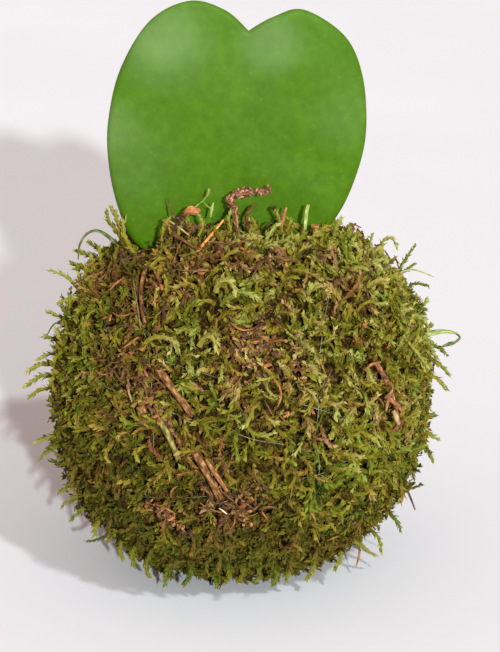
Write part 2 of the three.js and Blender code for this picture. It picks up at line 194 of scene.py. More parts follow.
def mixColours(tree, share, a, b):
    # a where share is 0, b where it is 1: each a socket or a hex colour
    node = tree.nodes.new("ShaderNodeMix")
    node.data_type = "RGBA"
    factor = next(socket for socket in node.inputs if socket.name == "Factor" and socket.type == "VALUE")
    tree.links.new(share, factor)
    for socket, value in zip((socket for socket in node.inputs if socket.type == "RGBA"), (a, b)):
        if isinstance(value, str):
            socket.default_value = linearColour(value)
        else:
            tree.links.new(value, socket)
    return next(socket for socket in node.outputs if socket.type == "RGBA")


def newFinish(name):
    # an empty Principled material: its node tree and its shader
    material = bpy.data.materials.new(name)
    material.use_nodes = True
    return material, material.node_tree, material.node_tree.nodes["Principled BSDF"]


# Camera, where the photograph was taken from

photo = dict(
    width=500, height=652,  # pixels
    elevation=np.radians(20),
    distance=560,  # mm, from the lens to the ball's centre along the view
    pixelsPerMm=3.95,  # at the ball's centre
    ballSpot=(242, 393),  # pixel where the ball's centre shows
    sensor=36,  # mm
)
# The moss mat's form in mm: each squareness is a power, hollowAt is azimuth and elevation in
# degrees, and hollowWidth is in radians
ball = dict(
    centreHeight=43.5, halfWidth=46.5, halfHeightUp=45.5, halfHeightDown=47.3,
    squarenessUp=2.4, squarenessDown=1.9, lopsided=1.5, lumpHeight=0.75,
    hollowAt=(-80, 59), hollowDepth=3.2, hollowWidth=0.15, coatThickness=7, gap=0.3,
)
centre = np.array([0, 0, ball["centreHeight"]], float)
viewForward = np.array([0, np.cos(photo["elevation"]), -np.sin(photo["elevation"])])
viewUp = np.array([0, np.sin(photo["elevation"]), np.cos(photo["elevation"])])


def inView(spots):
    # places given as the camera sees them: across, up and nearer than the ball's centre, in mm
    across, up, nearer = np.moveaxis(np.array(spots, float), -1, 0)
    level = np.stack([across, np.zeros_like(across), np.zeros_like(across)], -1)
    return centre + level + up[..., None] * viewUp - nearer[..., None] * viewForward


def addCamera():
    rightOff = (photo["ballSpot"][0] - photo["width"] / 2) / photo["pixelsPerMm"]
    downOff = (photo["ballSpot"][1] - photo["height"] / 2) / photo["pixelsPerMm"]
    place = centre - viewForward * photo["distance"] + viewUp * downOff - np.array([rightOff, 0, 0])
    data = bpy.data.cameras.new("camera")
    data.sensor_width = photo["sensor"]
    data.lens = photo["pixelsPerMm"] * photo["distance"] / photo["height"] * photo["sensor"]
    camera = bpy.data.objects.new("camera", data)
    camera.location = place * mm
    camera.rotation_euler = (np.pi / 2 - photo["elevation"], 0, 0)
    bpy.context.scene.collection.objects.link(camera)
    bpy.context.scene.camera = camera


# Floor and light

# Lamps: azimuth from the camera's side towards +X, elevation and width of the light, in degrees
light = dict(
    key=dict(azimuth=12.8, elevation=18.6, width=1.8, power=4.6, colour="#f2fbff"),
    fill=dict(azimuth=36, elevation=48, width=3, power=1.75, colour="#f4fbff"),
    sky="#ffe8e3", skyStrength=0.63,
    floorWidth=9000, floorColours=("#d1d1d2", "#d4d4d5"), mottling=167,  # mm
)


def addLamp(name, azimuth, elevation, width, power, colour):
    data = bpy.data.lights.new(name, "SUN")
    data.energy, data.angle, data.color = power, np.radians(width), linearColour(colour)[:3]
    lamp = bpy.data.objects.new(name, data)
    lamp.rotation_euler = np.radians((90 - elevation, 0, azimuth))
    bpy.context.scene.collection.objects.link(lamp)


def addStage():
    # matt pale laminate: the faint mottling keeps it from looking like paper cut out
    material, tree, shader = newFinish("paleLaminate")
    place = addNode(tree, "TexCoord").outputs["Object"]
    mottling = addNode(tree, "TexNoise", {
        "Vector": place, "Scale": perMetre(light["mottling"]), "Detail": 3.0,
    })
    dull, pale = light["floorColours"]
    colour = addRamp(tree, mottling.outputs["Fac"], [(0.3, dull), (0.7, pale)])
    setInputs(tree, shader, {"Base Color": colour, "Roughness": 0.8, "Specular IOR Level": 0.1})
    half = light["floorWidth"] / 2 * mm
    mesh = bpy.data.meshes.new("floor")
    corners = [(-half, -half, 0), (half, -half, 0), (half, half, 0), (-half, half, 0)]
    mesh.from_pydata(corners, [], [(0, 1, 2, 3)])
    mesh.materials.append(material)
    floor = bpy.data.objects.new("floor", mesh)
    bpy.context.scene.collection.objects.link(floor)
    world = bpy.data.worlds.new("studio")
    bpy.context.scene.world = world
    world.use_nodes = True
    sky = world.node_tree.nodes["Background"]
    sky.inputs["Color"].default_value = linearColour(light["sky"])
    sky.inputs["Strength"].default_value = light["skyStrength"]
    addLamp("key", **light["key"])
    addLamp("fill", **light["fill"])
    bpy.context.scene.view_settings.view_transform = "Standard"


addCamera()
addStage()
print("camera, floor and light made")

# The ball's form


def smoothRadius(direction, inset=0.0):
    # distance from the centre to a rounded-square ball, `inset` inside the moss mat
    upper = direction[..., 2] > 0
    halfHeight = np.where(upper, ball["halfHeightUp"], ball["halfHeightDown"])
    power = np.where(upper, ball["squarenessUp"], ball["squarenessDown"])
    across = np.hypot(direction[..., 0], direction[..., 1]) / (ball["halfWidth"] - inset)
    upright = np.abs(direction[..., 2]) / (halfHeight - inset)
    return (across ** power + upright ** power) ** (-1 / power)


def matRadius(direction):
    # the same leaning to one side, with broad low lumps as sines of the direction, and with one
    # hollow beside the leaf
    x, y, z = np.moveaxis(direction, -1, 0)
    lumps = np.sin(4.1 * x + 1.3) * np.cos(3.7 * z - 0.4) + 0.7 * np.sin(5.3 * y - 2.6 * z + 0.8)
    fromHollow = np.arccos(np.clip(direction @ aimed(*ball["hollowAt"]), -1, 1)) / ball["hollowWidth"]
    shape = ball["lopsided"] * x * z + ball["lumpHeight"] * lumps
    return smoothRadius(direction) + shape - ball["hollowDepth"] * np.exp(-(fromHollow ** 2))


def aimed(azimuth, elevation):
    # direction from the ball's centre; azimuth 0 faces -Y and turns to +X, both in degrees
    a, e = np.radians(azimuth), np.radians(elevation)
    return np.stack(np.broadcast_arrays(np.sin(a) * np.cos(e), -np.cos(a) * np.cos(e), np.sin(e)), -1)


def overMat(direction, height):
    # the points at a height over the mat along each direction
    return centre + direction * (matRadius(direction) + height)[..., None]


def heightOver(points):
    # height of points over the mat, and their directions
    arm = points - centre
    direction = unit(arm)
    return np.linalg.norm(arm, axis=-1) - matRadius(direction), direction


def onFace(direction):
    # the two level ways over the ball's face: down, and to the side
    down = unit(-upward + dot(upward, direction) * direction + 1e-6)
    return down, np.cross(direction, down)


def evenDirections(count, scatter, random):
    # a golden-angle spiral over the sphere, with each direction moved a little at random
    i = np.arange(count)
    z = 1 - (2 * i + 1) / count
    flat = np.sqrt(1 - z * z)
    spiral = np.stack([flat * np.cos(i * goldenAngle), flat * np.sin(i * goldenAngle), z], 1)
    return unit(spiral + random.normal(0, scatter, (count, 3)))


# The heart-shaped leaf

# Outlines are across and up from the blade's foot, creaseRise is up from it, and past the outline's
# edge the blade pushes the moss away, ever less through pushReach; the heights through which a
# painted sheen makes the blade paler upwards are over the floor
leaf = dict(
    baseHeight=73.5, baseX=-3, roll=np.radians(4.3), lean=np.radians(2.5),
    thicknessEdge=2.2, thicknessMiddle=3.1, rimRadius=1.5,
    cup=2.2, crease=0.9, creaseWidth=7, creaseRise=(20, 70), middleHeight=36,
    outlineSteps=260, rimRings=7, faceRings=26, lastRing=0.015, checkSteps=360,
    pushReach=(0.5, 3.5),
    swell=0.16, swellWidth=17,  # mm, the faint waves of a fleshy blade
    mottling=18.2, pores=2.38, freckles=3.03, relief=0.4, paintedSheenRange=(100, 142), paintedSheenShare=0.15,
    paintedSheenPatches=[  # patches of painted sheen: x and z of the middle, reach, amount
        ((-19, 133), 18, 0.5), ((7, 133), 12, 0.6), ((-33, 113), 12, 0.3),
        ((26, 116), 14, 0.15), ((-28, 104), 20, 0.2),
    ],
    leftEdge=[
        (0, 0), (-12.5, 2), (-24, 7.6), (-29, 16.6), (-31.9, 27.5), (-32.5, 38),
        (-30.2, 51), (-23.8, 63.2), (-14.6, 68.8), (-6, 67.2), (0, 62.6),
    ],
    rightEdge=[
        (0, 0), (9.7, 3.8), (19.2, 10.6), (25.7, 19), (29.4, 30), (30.5, 40.5),
        (28.4, 53.5), (23.2, 63), (12.8, 68.7), (5.6, 66.4), (0, 62.6),
    ],
)
stalk = dict(heights=(9, 3, -5, -13), radii=(1.2, 1.9, 1.8, 1.6), steps=24, sides=20)
root = dict(
    count=6, firstAt=0.3, top=-12, radius=0.6, tipRadius=0.35, reach=17, shortest=0.9,
    longer=0.08, drop=17, wave=1.2, steps=18, sides=8,
)


def bladeSag(across, up):
    # how far the blade's middle stands back: cupped edges and the fold under the notch
    fold = leaf["crease"] * np.exp(-((across / leaf["creaseWidth"]) ** 2))
    return leaf["cup"] * (across / leaf["rightEdge"][5][0]) ** 2 + fold * smoothStep(up, *leaf["creaseRise"])


def placeLeaf(x, y, z):
    # from the leaf's own frame, across, back and up: about X by -lean, then about Y by roll
    x, y, z = np.broadcast_arrays(x, y, z)
    c, s = np.cos(leaf["lean"]), np.sin(leaf["lean"])
    y, z = y * c + z * s, z * c - y * s
    c, s = np.cos(leaf["roll"]), np.sin(leaf["roll"])
    base = np.array([leaf["baseX"], 0, leaf["baseHeight"]])
    return np.stack([x * c + z * s, y, z * c - x * s], -1) + base


def bladeOutline(steps):
    # once round the blade: up its right edge to the notch and down its left edge
    half = steps // 2
    rising = smoothCurve(leaf["rightEdge"], half + 1)[:-1]
    falling = smoothCurve(leaf["leftEdge"], half + 1)[:0:-1]
    return np.concatenate([rising, falling])


def bladeShell():
    # rings that shrink from the rim to the middle on both faces; near the rim they follow a
    # quarter circle, so that the edge is round
    outline = bladeOutline(leaf["outlineSteps"])
    middle = np.array([0, leaf["middleHeight"]])
    arm = outline - middle
    length = np.linalg.norm(arm, axis=1)
    rimTurn = np.linspace(0, np.pi / 2, leaf["rimRings"])
    rimShare = 1 - leaf["rimRadius"] * (1 - np.cos(rimTurn))[:, None] / length
    inner = np.linspace(1, leaf["lastRing"], leaf["faceRings"] + 1)[1:, None] * rimShare[-1]
    share = np.concatenate([rimShare, inner])
    rounding = np.concatenate([np.sin(rimTurn), np.ones(leaf["faceRings"])])[:, None]
    flat = middle + share[..., None] * arm
    thickness = mix(leaf["thicknessMiddle"], leaf["thicknessEdge"], share)
    across, up = flat[..., 0], flat[..., 1]
    spot = np.stack([across, up, np.zeros_like(up)], -1)
    faces = []
    for sign in (1, -1):
        waves = ripple(spot + 40 * sign, leaf["swellWidth"], waves=9, seed=5)
        swell = leaf["swell"] * waves * rounding
        out = rounding * (thickness / 2 + swell)
        faces.append(placeLeaf(across, bladeSag(across, up) + sign * out, up))
    return cappedGrid(np.concatenate([faces[0][::-1], faces[1][1:]]))


def stalkShell():
    # a tube from inside the blade's foot down into the soil
    heights = np.array(stalk["heights"], float)
    fine = np.linspace(heights[0], heights[-1], stalk["steps"])
    radii = np.interp(fine, heights[::-1], stalk["radii"][::-1])
    path = placeLeaf(0.0, bladeSag(0.0, fine), fine)
    guide = np.broadcast_to([0.0, 1.0, 0.0], path.shape)
    return cappedGrid(tubeRows(path, radii[:, None], guide, stalk["sides"]))


def rootShell(index):
    # a root runs out from the stalk's end and down ever more steeply, and sways as a sine
    turn = 2 * np.pi * (index + root["firstAt"]) / root["count"]
    share = np.linspace(0, 1, root["steps"])
    out = root["reach"] * (root["shortest"] + root["longer"] * (index % 3)) * share
    sway = root["wave"] * share * np.sin(5 * share + 2 * index)
    fall = root["drop"] * share * (0.35 + 0.65 * share)
    x = out * np.cos(turn) - sway * np.sin(turn)
    y = out * np.sin(turn) + sway * np.cos(turn)
    path = np.stack([x, y, -fall], 1) + placeLeaf(0.0, 0.0, root["top"])
    radii = mix(root["radius"], root["tipRadius"], share)
    return cappedGrid(tubeRows(path, radii[:, None], np.broadcast_to(upward, path.shape), root["sides"]))


def waxySucculentLeaf():
    # wax plant leaf: thick, soft green with blurred paler mottling and tiny pale freckles; its broad, dull
    # sheen is painted into the colour, paler towards the top lobes and in soft patches, over a low rough
    # shine that is never a mirror
    material, tree, shader = newFinish("waxySucculentLeaf")
    place = addNode(tree, "TexCoord").outputs["Object"]
    broad = addNode(tree, "TexNoise", {
        "Vector": place, "Scale": perMetre(leaf["mottling"]), "Detail": 3.0, "Roughness": 0.55,
    })
    fine = addNode(tree, "TexNoise", {
        "Vector": place, "Scale": perMetre(leaf["pores"]), "Detail": 4.0, "Roughness": 0.6,
    })
    blend = addNode(tree, "Math", {0: broad.outputs["Fac"], 1: fine.outputs["Fac"]}, operation="ADD")
    half = addNode(tree, "Math", {0: blend.outputs[0], 1: 0.5}, operation="MULTIPLY")
    green = addRamp(tree, half.outputs[0], [(0.38, "#365700"), (0.5, "#3c5e00"), (0.62, "#436604")])
    freckles = addNode(tree, "TexVoronoi", {"Vector": place, "Scale": perMetre(leaf["freckles"])})
    spots = addRamp(tree, freckles.outputs["Distance"], [(0.06, "#ffffff"), (0.16, "#000000")])
    some = addNode(tree, "Math", {0: spots, 1: 0.08}, operation="MULTIPLY")
    freckled = mixColours(tree, some.outputs[0], green, "#7da04c")
    at = addNode(tree, "SeparateXYZ", {"Vector": place})
    # painted sheen: the blade grows paler towards the top lobes
    sheenFrom, sheenTo = leaf["paintedSheenRange"]
    high = addNode(tree, "MapRange", {
        "Value": at.outputs["Z"], "From Min": sheenFrom * mm, "From Max": sheenTo * mm,
        "To Max": leaf["paintedSheenShare"],
    })
    colour = mixColours(tree, high.outputs["Result"], freckled, "#58842c")
    # painted sheen: soft pale patches on the lobes
    for (x, z), reach, amount in leaf["paintedSheenPatches"]:
        away = addNode(tree, "VectorMath", {0: place, 1: (x * mm, 0, z * mm)}, operation="DISTANCE")
        near = addNode(tree, "MapRange", {
            "Value": away.outputs["Value"], "From Min": reach * mm, "From Max": 0.0, "To Max": amount,
        }, interpolation_type="SMOOTHERSTEP")
        shares = {0: near.outputs["Result"], 1: broad.outputs["Fac"]}
        sheenPatchShare = addNode(tree, "Math", shares, operation="MULTIPLY")
        colour = mixColours(tree, sheenPatchShare.outputs[0], colour, "#84996c")
    uneven = addNode(tree, "MapRange", {"Value": broad.outputs["Fac"], "To Min": 0.45, "To Max": 0.6})
    bump = addNode(tree, "Bump", {
        "Height": fine.outputs["Fac"], "Strength": 0.2, "Distance": leaf["relief"] * mm,
    })
    setInputs(tree, shader, {
        "Base Color": colour, "Roughness": uneven.outputs["Result"], "Normal": bump.outputs["Normal"],
        "IOR": 1.45, "Subsurface Weight": 0.25, "Subsurface Radius": (0.6, 1.0, 0.25),
        "Subsurface Scale": 2 * mm, "Specular IOR Level": 0.12,
    })
    return material


def makeLeaf():
    shells = [bladeShell(), stalkShell(), *(rootShell(i) for i in range(root["count"]))]
    addPiece("heartLeaf", *joined(shells), waxySucculentLeaf(), "leaf", ["heart_leaf"])


makeLeaf()

# Thread and scraps: where they lie, so that the moss keeps clear of them

# Each scrap lies between two spots, given as azimuth and elevation, and is bowed by some degrees
scraps = [
    dict(name="twigFrontUpper", node="twig_front_upper", start=(-26, 26), end=(-14, 15),
         radius=1.05, bow=0.6),
    dict(name="twigFrontLower", node="twig_front_lower", start=(-13, 4.5), end=(-6, -10),
         radius=1.15, bow=0.5),
    dict(name="strawFront", node="straw_front", start=(-24, 12.5), end=(-18, 1.5), radius=0.95, bow=0.4),
    dict(name="rootletFront", node="rootlet_front", start=(-62, 60), end=(-36, 38), radius=0.55, bow=1),
    dict(name="twigRight", node="twig_right", start=(46, 24), end=(55, 6), radius=0.7, bow=0.6, russet=True),
    dict(name="twigBackUpper", node="twig_back_upper", start=(160, 32), end=(176, 20), radius=0.9, bow=0.6),
    dict(name="twigBackLower", node="twig_back_lower", start=(206, -6), end=(222, -19), radius=1.05, bow=0.6),
    dict(name="strawLeft", node="straw_left", start=(-98, 10), end=(-88, -6), radius=0.75, bow=0.6),
    dict(name="strawBackRight", node="straw_back_right", start=(118, -14), end=(128, 2), radius=0.7, bow=0.6),
]
# Stems: `standing` is how high a scrap's middle lies over the mat, in radii, and `thinner` how
# thick it is beside its solid; ridgeDepth and knots are shares of the radius
stem = dict(
    steps=48, sides=22, thinner=0.9, taper=0.72, standing=0.35, checkSteps=24,
    ridges=7, ridgeDepth=0.1, ridgeShape=0.7, twist=0.25, twistRate=0.35,
    knots=0.07, knotWidth=5.0, knotRing=3, tornReach=0.8,
)
needle = dict(
    path=[(-12.0, -18.6, 85.4), (-4.4, -5.9, 91.1)], radii=(0.4, 0.25), steps=30, sides=10,
    checkSteps=16,
)
drySprig = dict(
    path=[
        (-0.6, -8.4, 85.3), (-1.6, -6.5, 93.5), (-2.6, -5.6, 96.3),
        (-0.4, -5, 97.7), (2.5, -4.8, 97.9), (6.9, -4.6, 98.3),
    ],
    radii=(0.3, 0.4, 0.75, 0.75, 0.75, 0.5), steps=60, sides=16, checkSteps=24,
    core=0.75, crumble=0.38, crumbleWidth=1.7,
    seed=34, crumbs=80, crumbFrom=0.42, crumbSize=(0.35, 0.8), scatter=0.6,
)
# The thread: `grain` is how high the moss lies under a bare stretch, `sunkTo` the height of a
# hidden one, and `slope` how far from a twig the thread starts and ends its way down
thread = dict(
    radius=0.08, sides=6, steps=220, grain=0.55, slope=(1.6, 3.4), sunkTo=-1.0, scuffs=1.111,
    pressed=0.85, pressedWidth=1.3,
    turns=[  # axis, and how far along it the turn lies, in radii of the ball
        ((1, -0.28, 0.085), 0.614), ((-1, -0.25, 0.08), 0.66), ((-0.05, 1, -0.04), 0.45),
        ((0.284, 0.213, 1), -0.035), ((0.337, 0.419, 1), 0.02), ((-0.2, 0.1, 1), -0.24),
    ],
)
# Where the thread lies bare: azimuth, elevation, reach in mm
glints = [
    (4, 10, 3.5), (24, 15, 3.5), (23, 0, 4.0), (-61, 26, 3.0), (-45, 19, 2.5),
    (96, 12, 5.0), (150, -4, 5.0), (200, 18, 5.0), (-130, 8, 5.0),
]


def nearSpots(direction, spots):
    # 0 to 1, as round soft-edged spots, the strongest counting
    share = np.zeros(direction.shape[:-1])
    for azimuth, elevation, reach, amount in spots:
        away = ball["halfWidth"] * np.arccos(np.clip(direction @ aimed(azimuth, elevation), -1, 1))
        share = np.maximum(share, amount * np.exp(-((away / reach) ** 2)))
    return share


def bareThread(direction):
    # 0 to 1, where the thread shows
    return nearSpots(direction, [(*spot, 1.0) for spot in glints])


def scrapPath(scrap, count):
    # an arc over the ball between two spots, bowed to the side
    share = np.linspace(0, 1, count)
    azimuth = mix(scrap["start"][0], scrap["end"][0], share) + scrap["bow"] * np.sin(np.pi * share)
    elevation = mix(scrap["start"][1], scrap["end"][1], share)
    return overMat(aimed(azimuth, elevation), np.full(count, scrap["radius"] * stem["standing"]))


# What the moss and the thread keep clear of: paths and radii, the lying scraps first
obstacles = [(scrapPath(scrap, stem["checkSteps"]), scrap["radius"]) for scrap in scraps]
obstacles.append((smoothCurve(needle["path"], needle["checkSteps"]), needle["radii"][0]))
obstacles.append((smoothCurve(drySprig["path"], drySprig["checkSteps"]), max(drySprig["radii"])))


def nearestOn(path, points):
    # distance from points to a path's points, and the nearest of them
    gaps = np.linalg.norm(points[..., None, :] - path, axis=-1)
    return gaps.min(-1), path[gaps.argmin(-1)]


def turnPath(axis, offset):
    # the directions at one angle from an axis, laid over the mat and lifted over each twig
    main = unit(np.array(axis, float))
    first = unit(np.cross([0.3, 0.5, 0.81], main))
    second = np.cross(main, first)
    angle = 2 * np.pi * np.arange(thread["steps"]) / thread["steps"]
    ring = np.cos(angle)[:, None] * first + np.sin(angle)[:, None] * second
    direction = main * offset + ring * np.sqrt(1 - offset ** 2)
    base = overMat(direction, np.zeros(len(direction)))
    free = thread["grain"] + ball["gap"] + thread["radius"]
    lift, bare = np.zeros(len(direction)), bareThread(direction)
    for path, radius in obstacles:
        crossing = radius * (1 + stem["standing"]) + 2 * ball["gap"] + thread["radius"] - free
        over = 1 - smoothStep(nearestOn(path, base)[0], *thread["slope"])
        lift, bare = np.maximum(lift, crossing * over), np.maximum(bare, over)
    return base + direction * (mix(thread["sunkTo"], free, bare) + lift)[:, None]


def clearNylon():
    # monofilament: clear and smooth, so it shows only as pale glints
    material, tree, shader = newFinish("clearNylon")
    place = addNode(tree, "TexCoord").outputs["Object"]
    scuffs = addNode(tree, "TexNoise", {
        "Vector": place, "Scale": perMetre(thread["scuffs"]), "Detail": 2.0,
    })
    colour = addRamp(tree, scuffs.outputs["Fac"], [(0.3, "#8b8c68"), (0.7, "#bcbd9e")])
    rough = addNode(tree, "MapRange", {"Value": scuffs.outputs["Fac"], "To Min": 0.15, "To Max": 0.4})
    setInputs(tree, shader, {
        "Base Color": colour, "Roughness": rough.outputs["Result"], "IOR": 1.4,
        "Transmission Weight": 0.6,
    })
    return material


def makeThread():
    # each turn is a closed tube
    shells = []
    for axis, offset in thread["turns"]:
        path = turnPath(axis, offset)
        along = unit(np.roll(path, -1, 0) - np.roll(path, 1, 0))
        side = unit(np.cross(along, path - centre))
        out = np.cross(side, along)
        angle = 2 * np.pi * np.arange(thread["sides"]) / thread["sides"]
        spoke = np.cos(angle)[:, None] * side[:, None] + np.sin(angle)[:, None] * out[:, None]
        points = (path[:, None] + thread["radius"] * spoke).reshape(-1, 3)
        shells.append((points, facingOut(points - centre, gridFaces(len(path), thread["sides"], True))))
    addPiece("bindingThread", *joined(shells), clearNylon(), "thread", ["binding_thread"])


makeThread()


# On the map in mm: `narrow` is a streak's width beside its length
barkGrain = dict(narrow=0.16, blotch=2.0, groove=0.2)


def drawnBark(name, dark, middle, pale, streaksPerMm):
    # dead stem: streaks run along it, with pale worn fibres on the ridges
    material, tree, shader = newFinish(name)
    along = addNode(tree, "UVMap", uv_map="grain").outputs["UV"]
    scale = (streaksPerMm, streaksPerMm * barkGrain["narrow"], 1.0)
    stretched = addNode(tree, "Mapping", {"Vector": along, "Scale": scale})
    fibre = addNode(tree, "TexNoise", {
        "Vector": stretched.outputs[0], "Scale": 1.0, "Detail": 5.0, "Roughness": 0.65,
    })
    blotch = addNode(tree, "TexNoise", {
        "Vector": along, "Scale": 1 / barkGrain["blotch"], "Detail": 2.0,
    })
    both = addNode(tree, "Math", {0: fibre.outputs["Fac"], 1: blotch.outputs["Fac"]}, operation="ADD")
    half = addNode(tree, "Math", {0: both.outputs[0], 1: 0.5}, operation="MULTIPLY")
    colour = addRamp(tree, half.outputs[0], [(0.36, dark), (0.5, middle), (0.62, pale)])
    bump = addNode(tree, "Bump", {
        "Height": fibre.outputs["Fac"], "Strength": 0.7, "Distance": barkGrain["groove"] * mm,
    })
    setInputs(tree, shader, {
        "Base Color": colour, "Roughness": 0.7, "Normal": bump.outputs["Normal"],
        "Specular IOR Level": 0.2,
    })
    return material


def stemShell(path, radii, guide, sides, seed, flatness=1.0, jag=0.5):
    # a tube with drawn-out ridges, low knots and torn ends; its map holds mm round and along it.
    # The knots are noise on a cylinder, and two sines of the angle tear the ends
    angle = 2 * np.pi * np.arange(sides) / sides
    run = np.r_[0, np.cumsum(np.linalg.norm(np.diff(path, axis=0), axis=1))]
    twist = stem["twist"] * np.sin(run * stem["twistRate"] + seed)[:, None]
    wave = np.abs(np.sin((angle + twist) * stem["ridges"] / 2 + seed))
    ridge = stem["ridgeDepth"] * wave ** stem["ridgeShape"]
    x, y = np.cos(angle) * stem["knotRing"], np.sin(angle) * stem["knotRing"]
    ring = np.stack(np.broadcast_arrays(x, y, run[:, None]), -1)
    knots = stem["knots"] * ripple(ring, stem["knotWidth"], waves=7, seed=seed)
    rows = tubeRows(path, radii[:, None] * (1 + ridge + knots), guide, sides, flatness)
    along = unit(np.gradient(path, axis=0))
    torn = jag * radii[:, None] * (np.sin(3 * angle + seed) + 0.6 * np.sin(7 * angle + 2 * seed))
    fromStart = run[:, None] / stem["tornReach"]
    toEnd = (run[-1] - run[:, None]) / stem["tornReach"]
    fade = np.exp(-(fromStart ** 2)) - np.exp(-(toEnd ** 2))
    rows = rows + along[:, None] * (torn * fade)[..., None]
    points, faces = cappedGrid(rows)
    around = np.minimum(angle, 2 * np.pi - angle) * radii.mean() * 2
    grid = np.stack(np.broadcast_arrays(around, run[:, None]), -1).reshape(-1, 2)
    return points, faces, np.concatenate([grid, [[0, run[0]], [0, run[-1]]]])


def makeScraps():
    bark = drawnBark("weatheredStemBark", "#28160a", "#6b431f", "#b08450", 3.2)
    russet = drawnBark("russetStem", "#4c2c15", "#8a5834", "#c0925f", 3.2)
    straw = drawnBark("dryStraw", "#3b2f14", "#74672f", "#a39a5a", 3.0)
    for index, scrap in enumerate(scraps):
        path = scrapPath(scrap, stem["steps"])
        taper = mix(1, stem["taper"], np.linspace(0, 1, stem["steps"]))
        radii = stem["thinner"] * scrap["radius"] * taper
        points, faces, uv = stemShell(path, radii, path - centre, stem["sides"], index + 1)
        isStraw = scrap["node"].startswith("straw")
        material = straw if isStraw else russet if "russet" in scrap else bark
        addPiece(scrap["name"], points, faces, material, "straw" if isStraw else "bark", [scrap["node"]], uv)


makeScraps()


def makeNeedle():
    # straight and stiff, tapering upwards
    straw = drawnBark("orangeNeedle", "#a04f1c", "#d5843c", "#f0bd78", 4.0)
    path = smoothCurve(needle["path"], needle["steps"])
    radii = np.linspace(*needle["radii"], needle["steps"])
    points, faces, uv = stemShell(path, radii, path - centre, needle["sides"], seed=21)
    addPiece("needleFront", points, faces, straw, "straw", ["needle_front"], uv)


crumb = dict(
    rings=(0.5, 0.9, 1.1, 1, 0.8, 0.4),  # how thick each is beside the others
    girth=(0.35, 0.7), uneven=(0.7, 1.3), crooked=0.06, flatness=(0.4, 1), jag=1.2,
    sides=6, guide=(0.1, 0.9, 0.3), mapShift=40,
)


def crumbShell(at, sizes, random):
    # a rough lump: a short bent tube whose rings vary in width
    rings = len(crumb["rings"])
    size = random.uniform(*sizes)
    line = at + unit(random.normal(0, 1, 3)) * np.linspace(-size, size, rings)[:, None]
    line = line + random.normal(0, crumb["crooked"], (rings, 3))
    wide = size * random.uniform(*crumb["girth"]) * np.array(crumb["rings"])
    wide = wide * random.uniform(*crumb["uneven"], rings)
    guide = np.broadcast_to(crumb["guide"], line.shape)
    flatness, seed = random.uniform(*crumb["flatness"]), int(size * 1000)
    points, faces, uv = stemShell(line, wide, guide, crumb["sides"], seed, flatness, crumb["jag"])
    return points, faces, uv + random.uniform(0, crumb["mapShift"], 2)


def makeDrySprig():
    # crumbly dead sprig: the stem's radius swells and shrinks, and rough crumbs cling to it
    bark = drawnBark("crumbledDeadSprig", "#1c0e07", "#6c4228", "#c69672", 2.2)
    count = drySprig["steps"]
    path = smoothCurve(drySprig["path"], count)
    knots = np.linspace(0, 1, len(drySprig["radii"]))
    radii = np.interp(np.linspace(0, 1, count), knots, drySprig["radii"])
    guide = np.broadcast_to([0.0, 1.0, 0.0], path.shape)
    points, faces, uv = stemShell(path, radii, guide, drySprig["sides"], seed=31)
    axis = np.repeat(path, drySprig["sides"], 0)
    arm = points[:len(axis)] - axis
    rough = ripple(points[:len(axis)], drySprig["crumbleWidth"], waves=12, seed=33)
    points[:len(axis)] = axis + arm * (drySprig["core"] + drySprig["crumble"] * rough)[:, None]
    shells, maps = [(points, faces)], [uv]
    random = np.random.default_rng(drySprig["seed"])
    for share in np.linspace(drySprig["crumbFrom"], 1, drySprig["crumbs"]):
        i = int(share * (count - 1))
        at = path[i] + random.normal(0, 1, 3) * drySprig["scatter"] * radii[i]
        lump, lumpFaces, lumpUv = crumbShell(at, drySprig["crumbSize"], random)
        shells.append((lump, lumpFaces))
        maps.append(lumpUv)
    points, faces = joined(shells)
    addPiece("drySprig", points, faces, bark, "bark", ["dry_sprig"], np.concatenate(maps), smooth=False)


makeNeedle()
makeDrySprig()
print("leaf, thread and scraps made")

# Moss


def leafyMoss():
    # moss leaflets: thin, matt, faintly shining; each leaflet's map gives its kind across
    # (0 fresh green, 0.4 olive, 0.65 straw, 1 dead brown) and its light upwards
    material, tree, shader = newFinish("leafyMoss")
    palette = addNode(tree, "UVMap", uv_map="OFBake").outputs["UV"]
    at = addNode(tree, "SeparateXYZ", {"Vector": palette})
    kind, tone = at.outputs["X"], at.outputs["Y"]
    dark = addRamp(tree, kind, [(0.05, "#273009"), (0.4, "#3a3007"), (0.65, "#48310d"), (0.95, "#3a200d")])
    middle = addRamp(tree, kind, [(0.05, "#4e6613"), (0.4, "#736c15"), (0.65, "#876c27"), (0.95, "#6e4222")])
    pale = addRamp(tree, kind, [(0.05, "#8d9b46"), (0.4, "#a19c56"), (0.65, "#b49b68"), (0.95, "#a27856")])
    low = addNode(tree, "MapRange", {"Value": tone, "From Min": 0.0, "From Max": 0.5})
    high = addNode(tree, "MapRange", {"Value": tone, "From Min": 0.5, "From Max": 1.0})
    under = mixColours(tree, low.outputs["Result"], dark, middle)
    colour = mixColours(tree, high.outputs["Result"], under, pale)
    setInputs(tree, shader, {"Base Color": colour, "Roughness": 0.75, "Specular IOR Level": 0.15})
    return material


mat = dict(
    inset=2.2, rows=110, columns=220, bumps=0.9, bumpWidth=5.0, fineBumps=0.35, fineWidth=1.8,
    hollowDepth=1.4, innerRows=40, lowest=0.05, fibres=1.333, patches=16.7, relief=1.5,
)


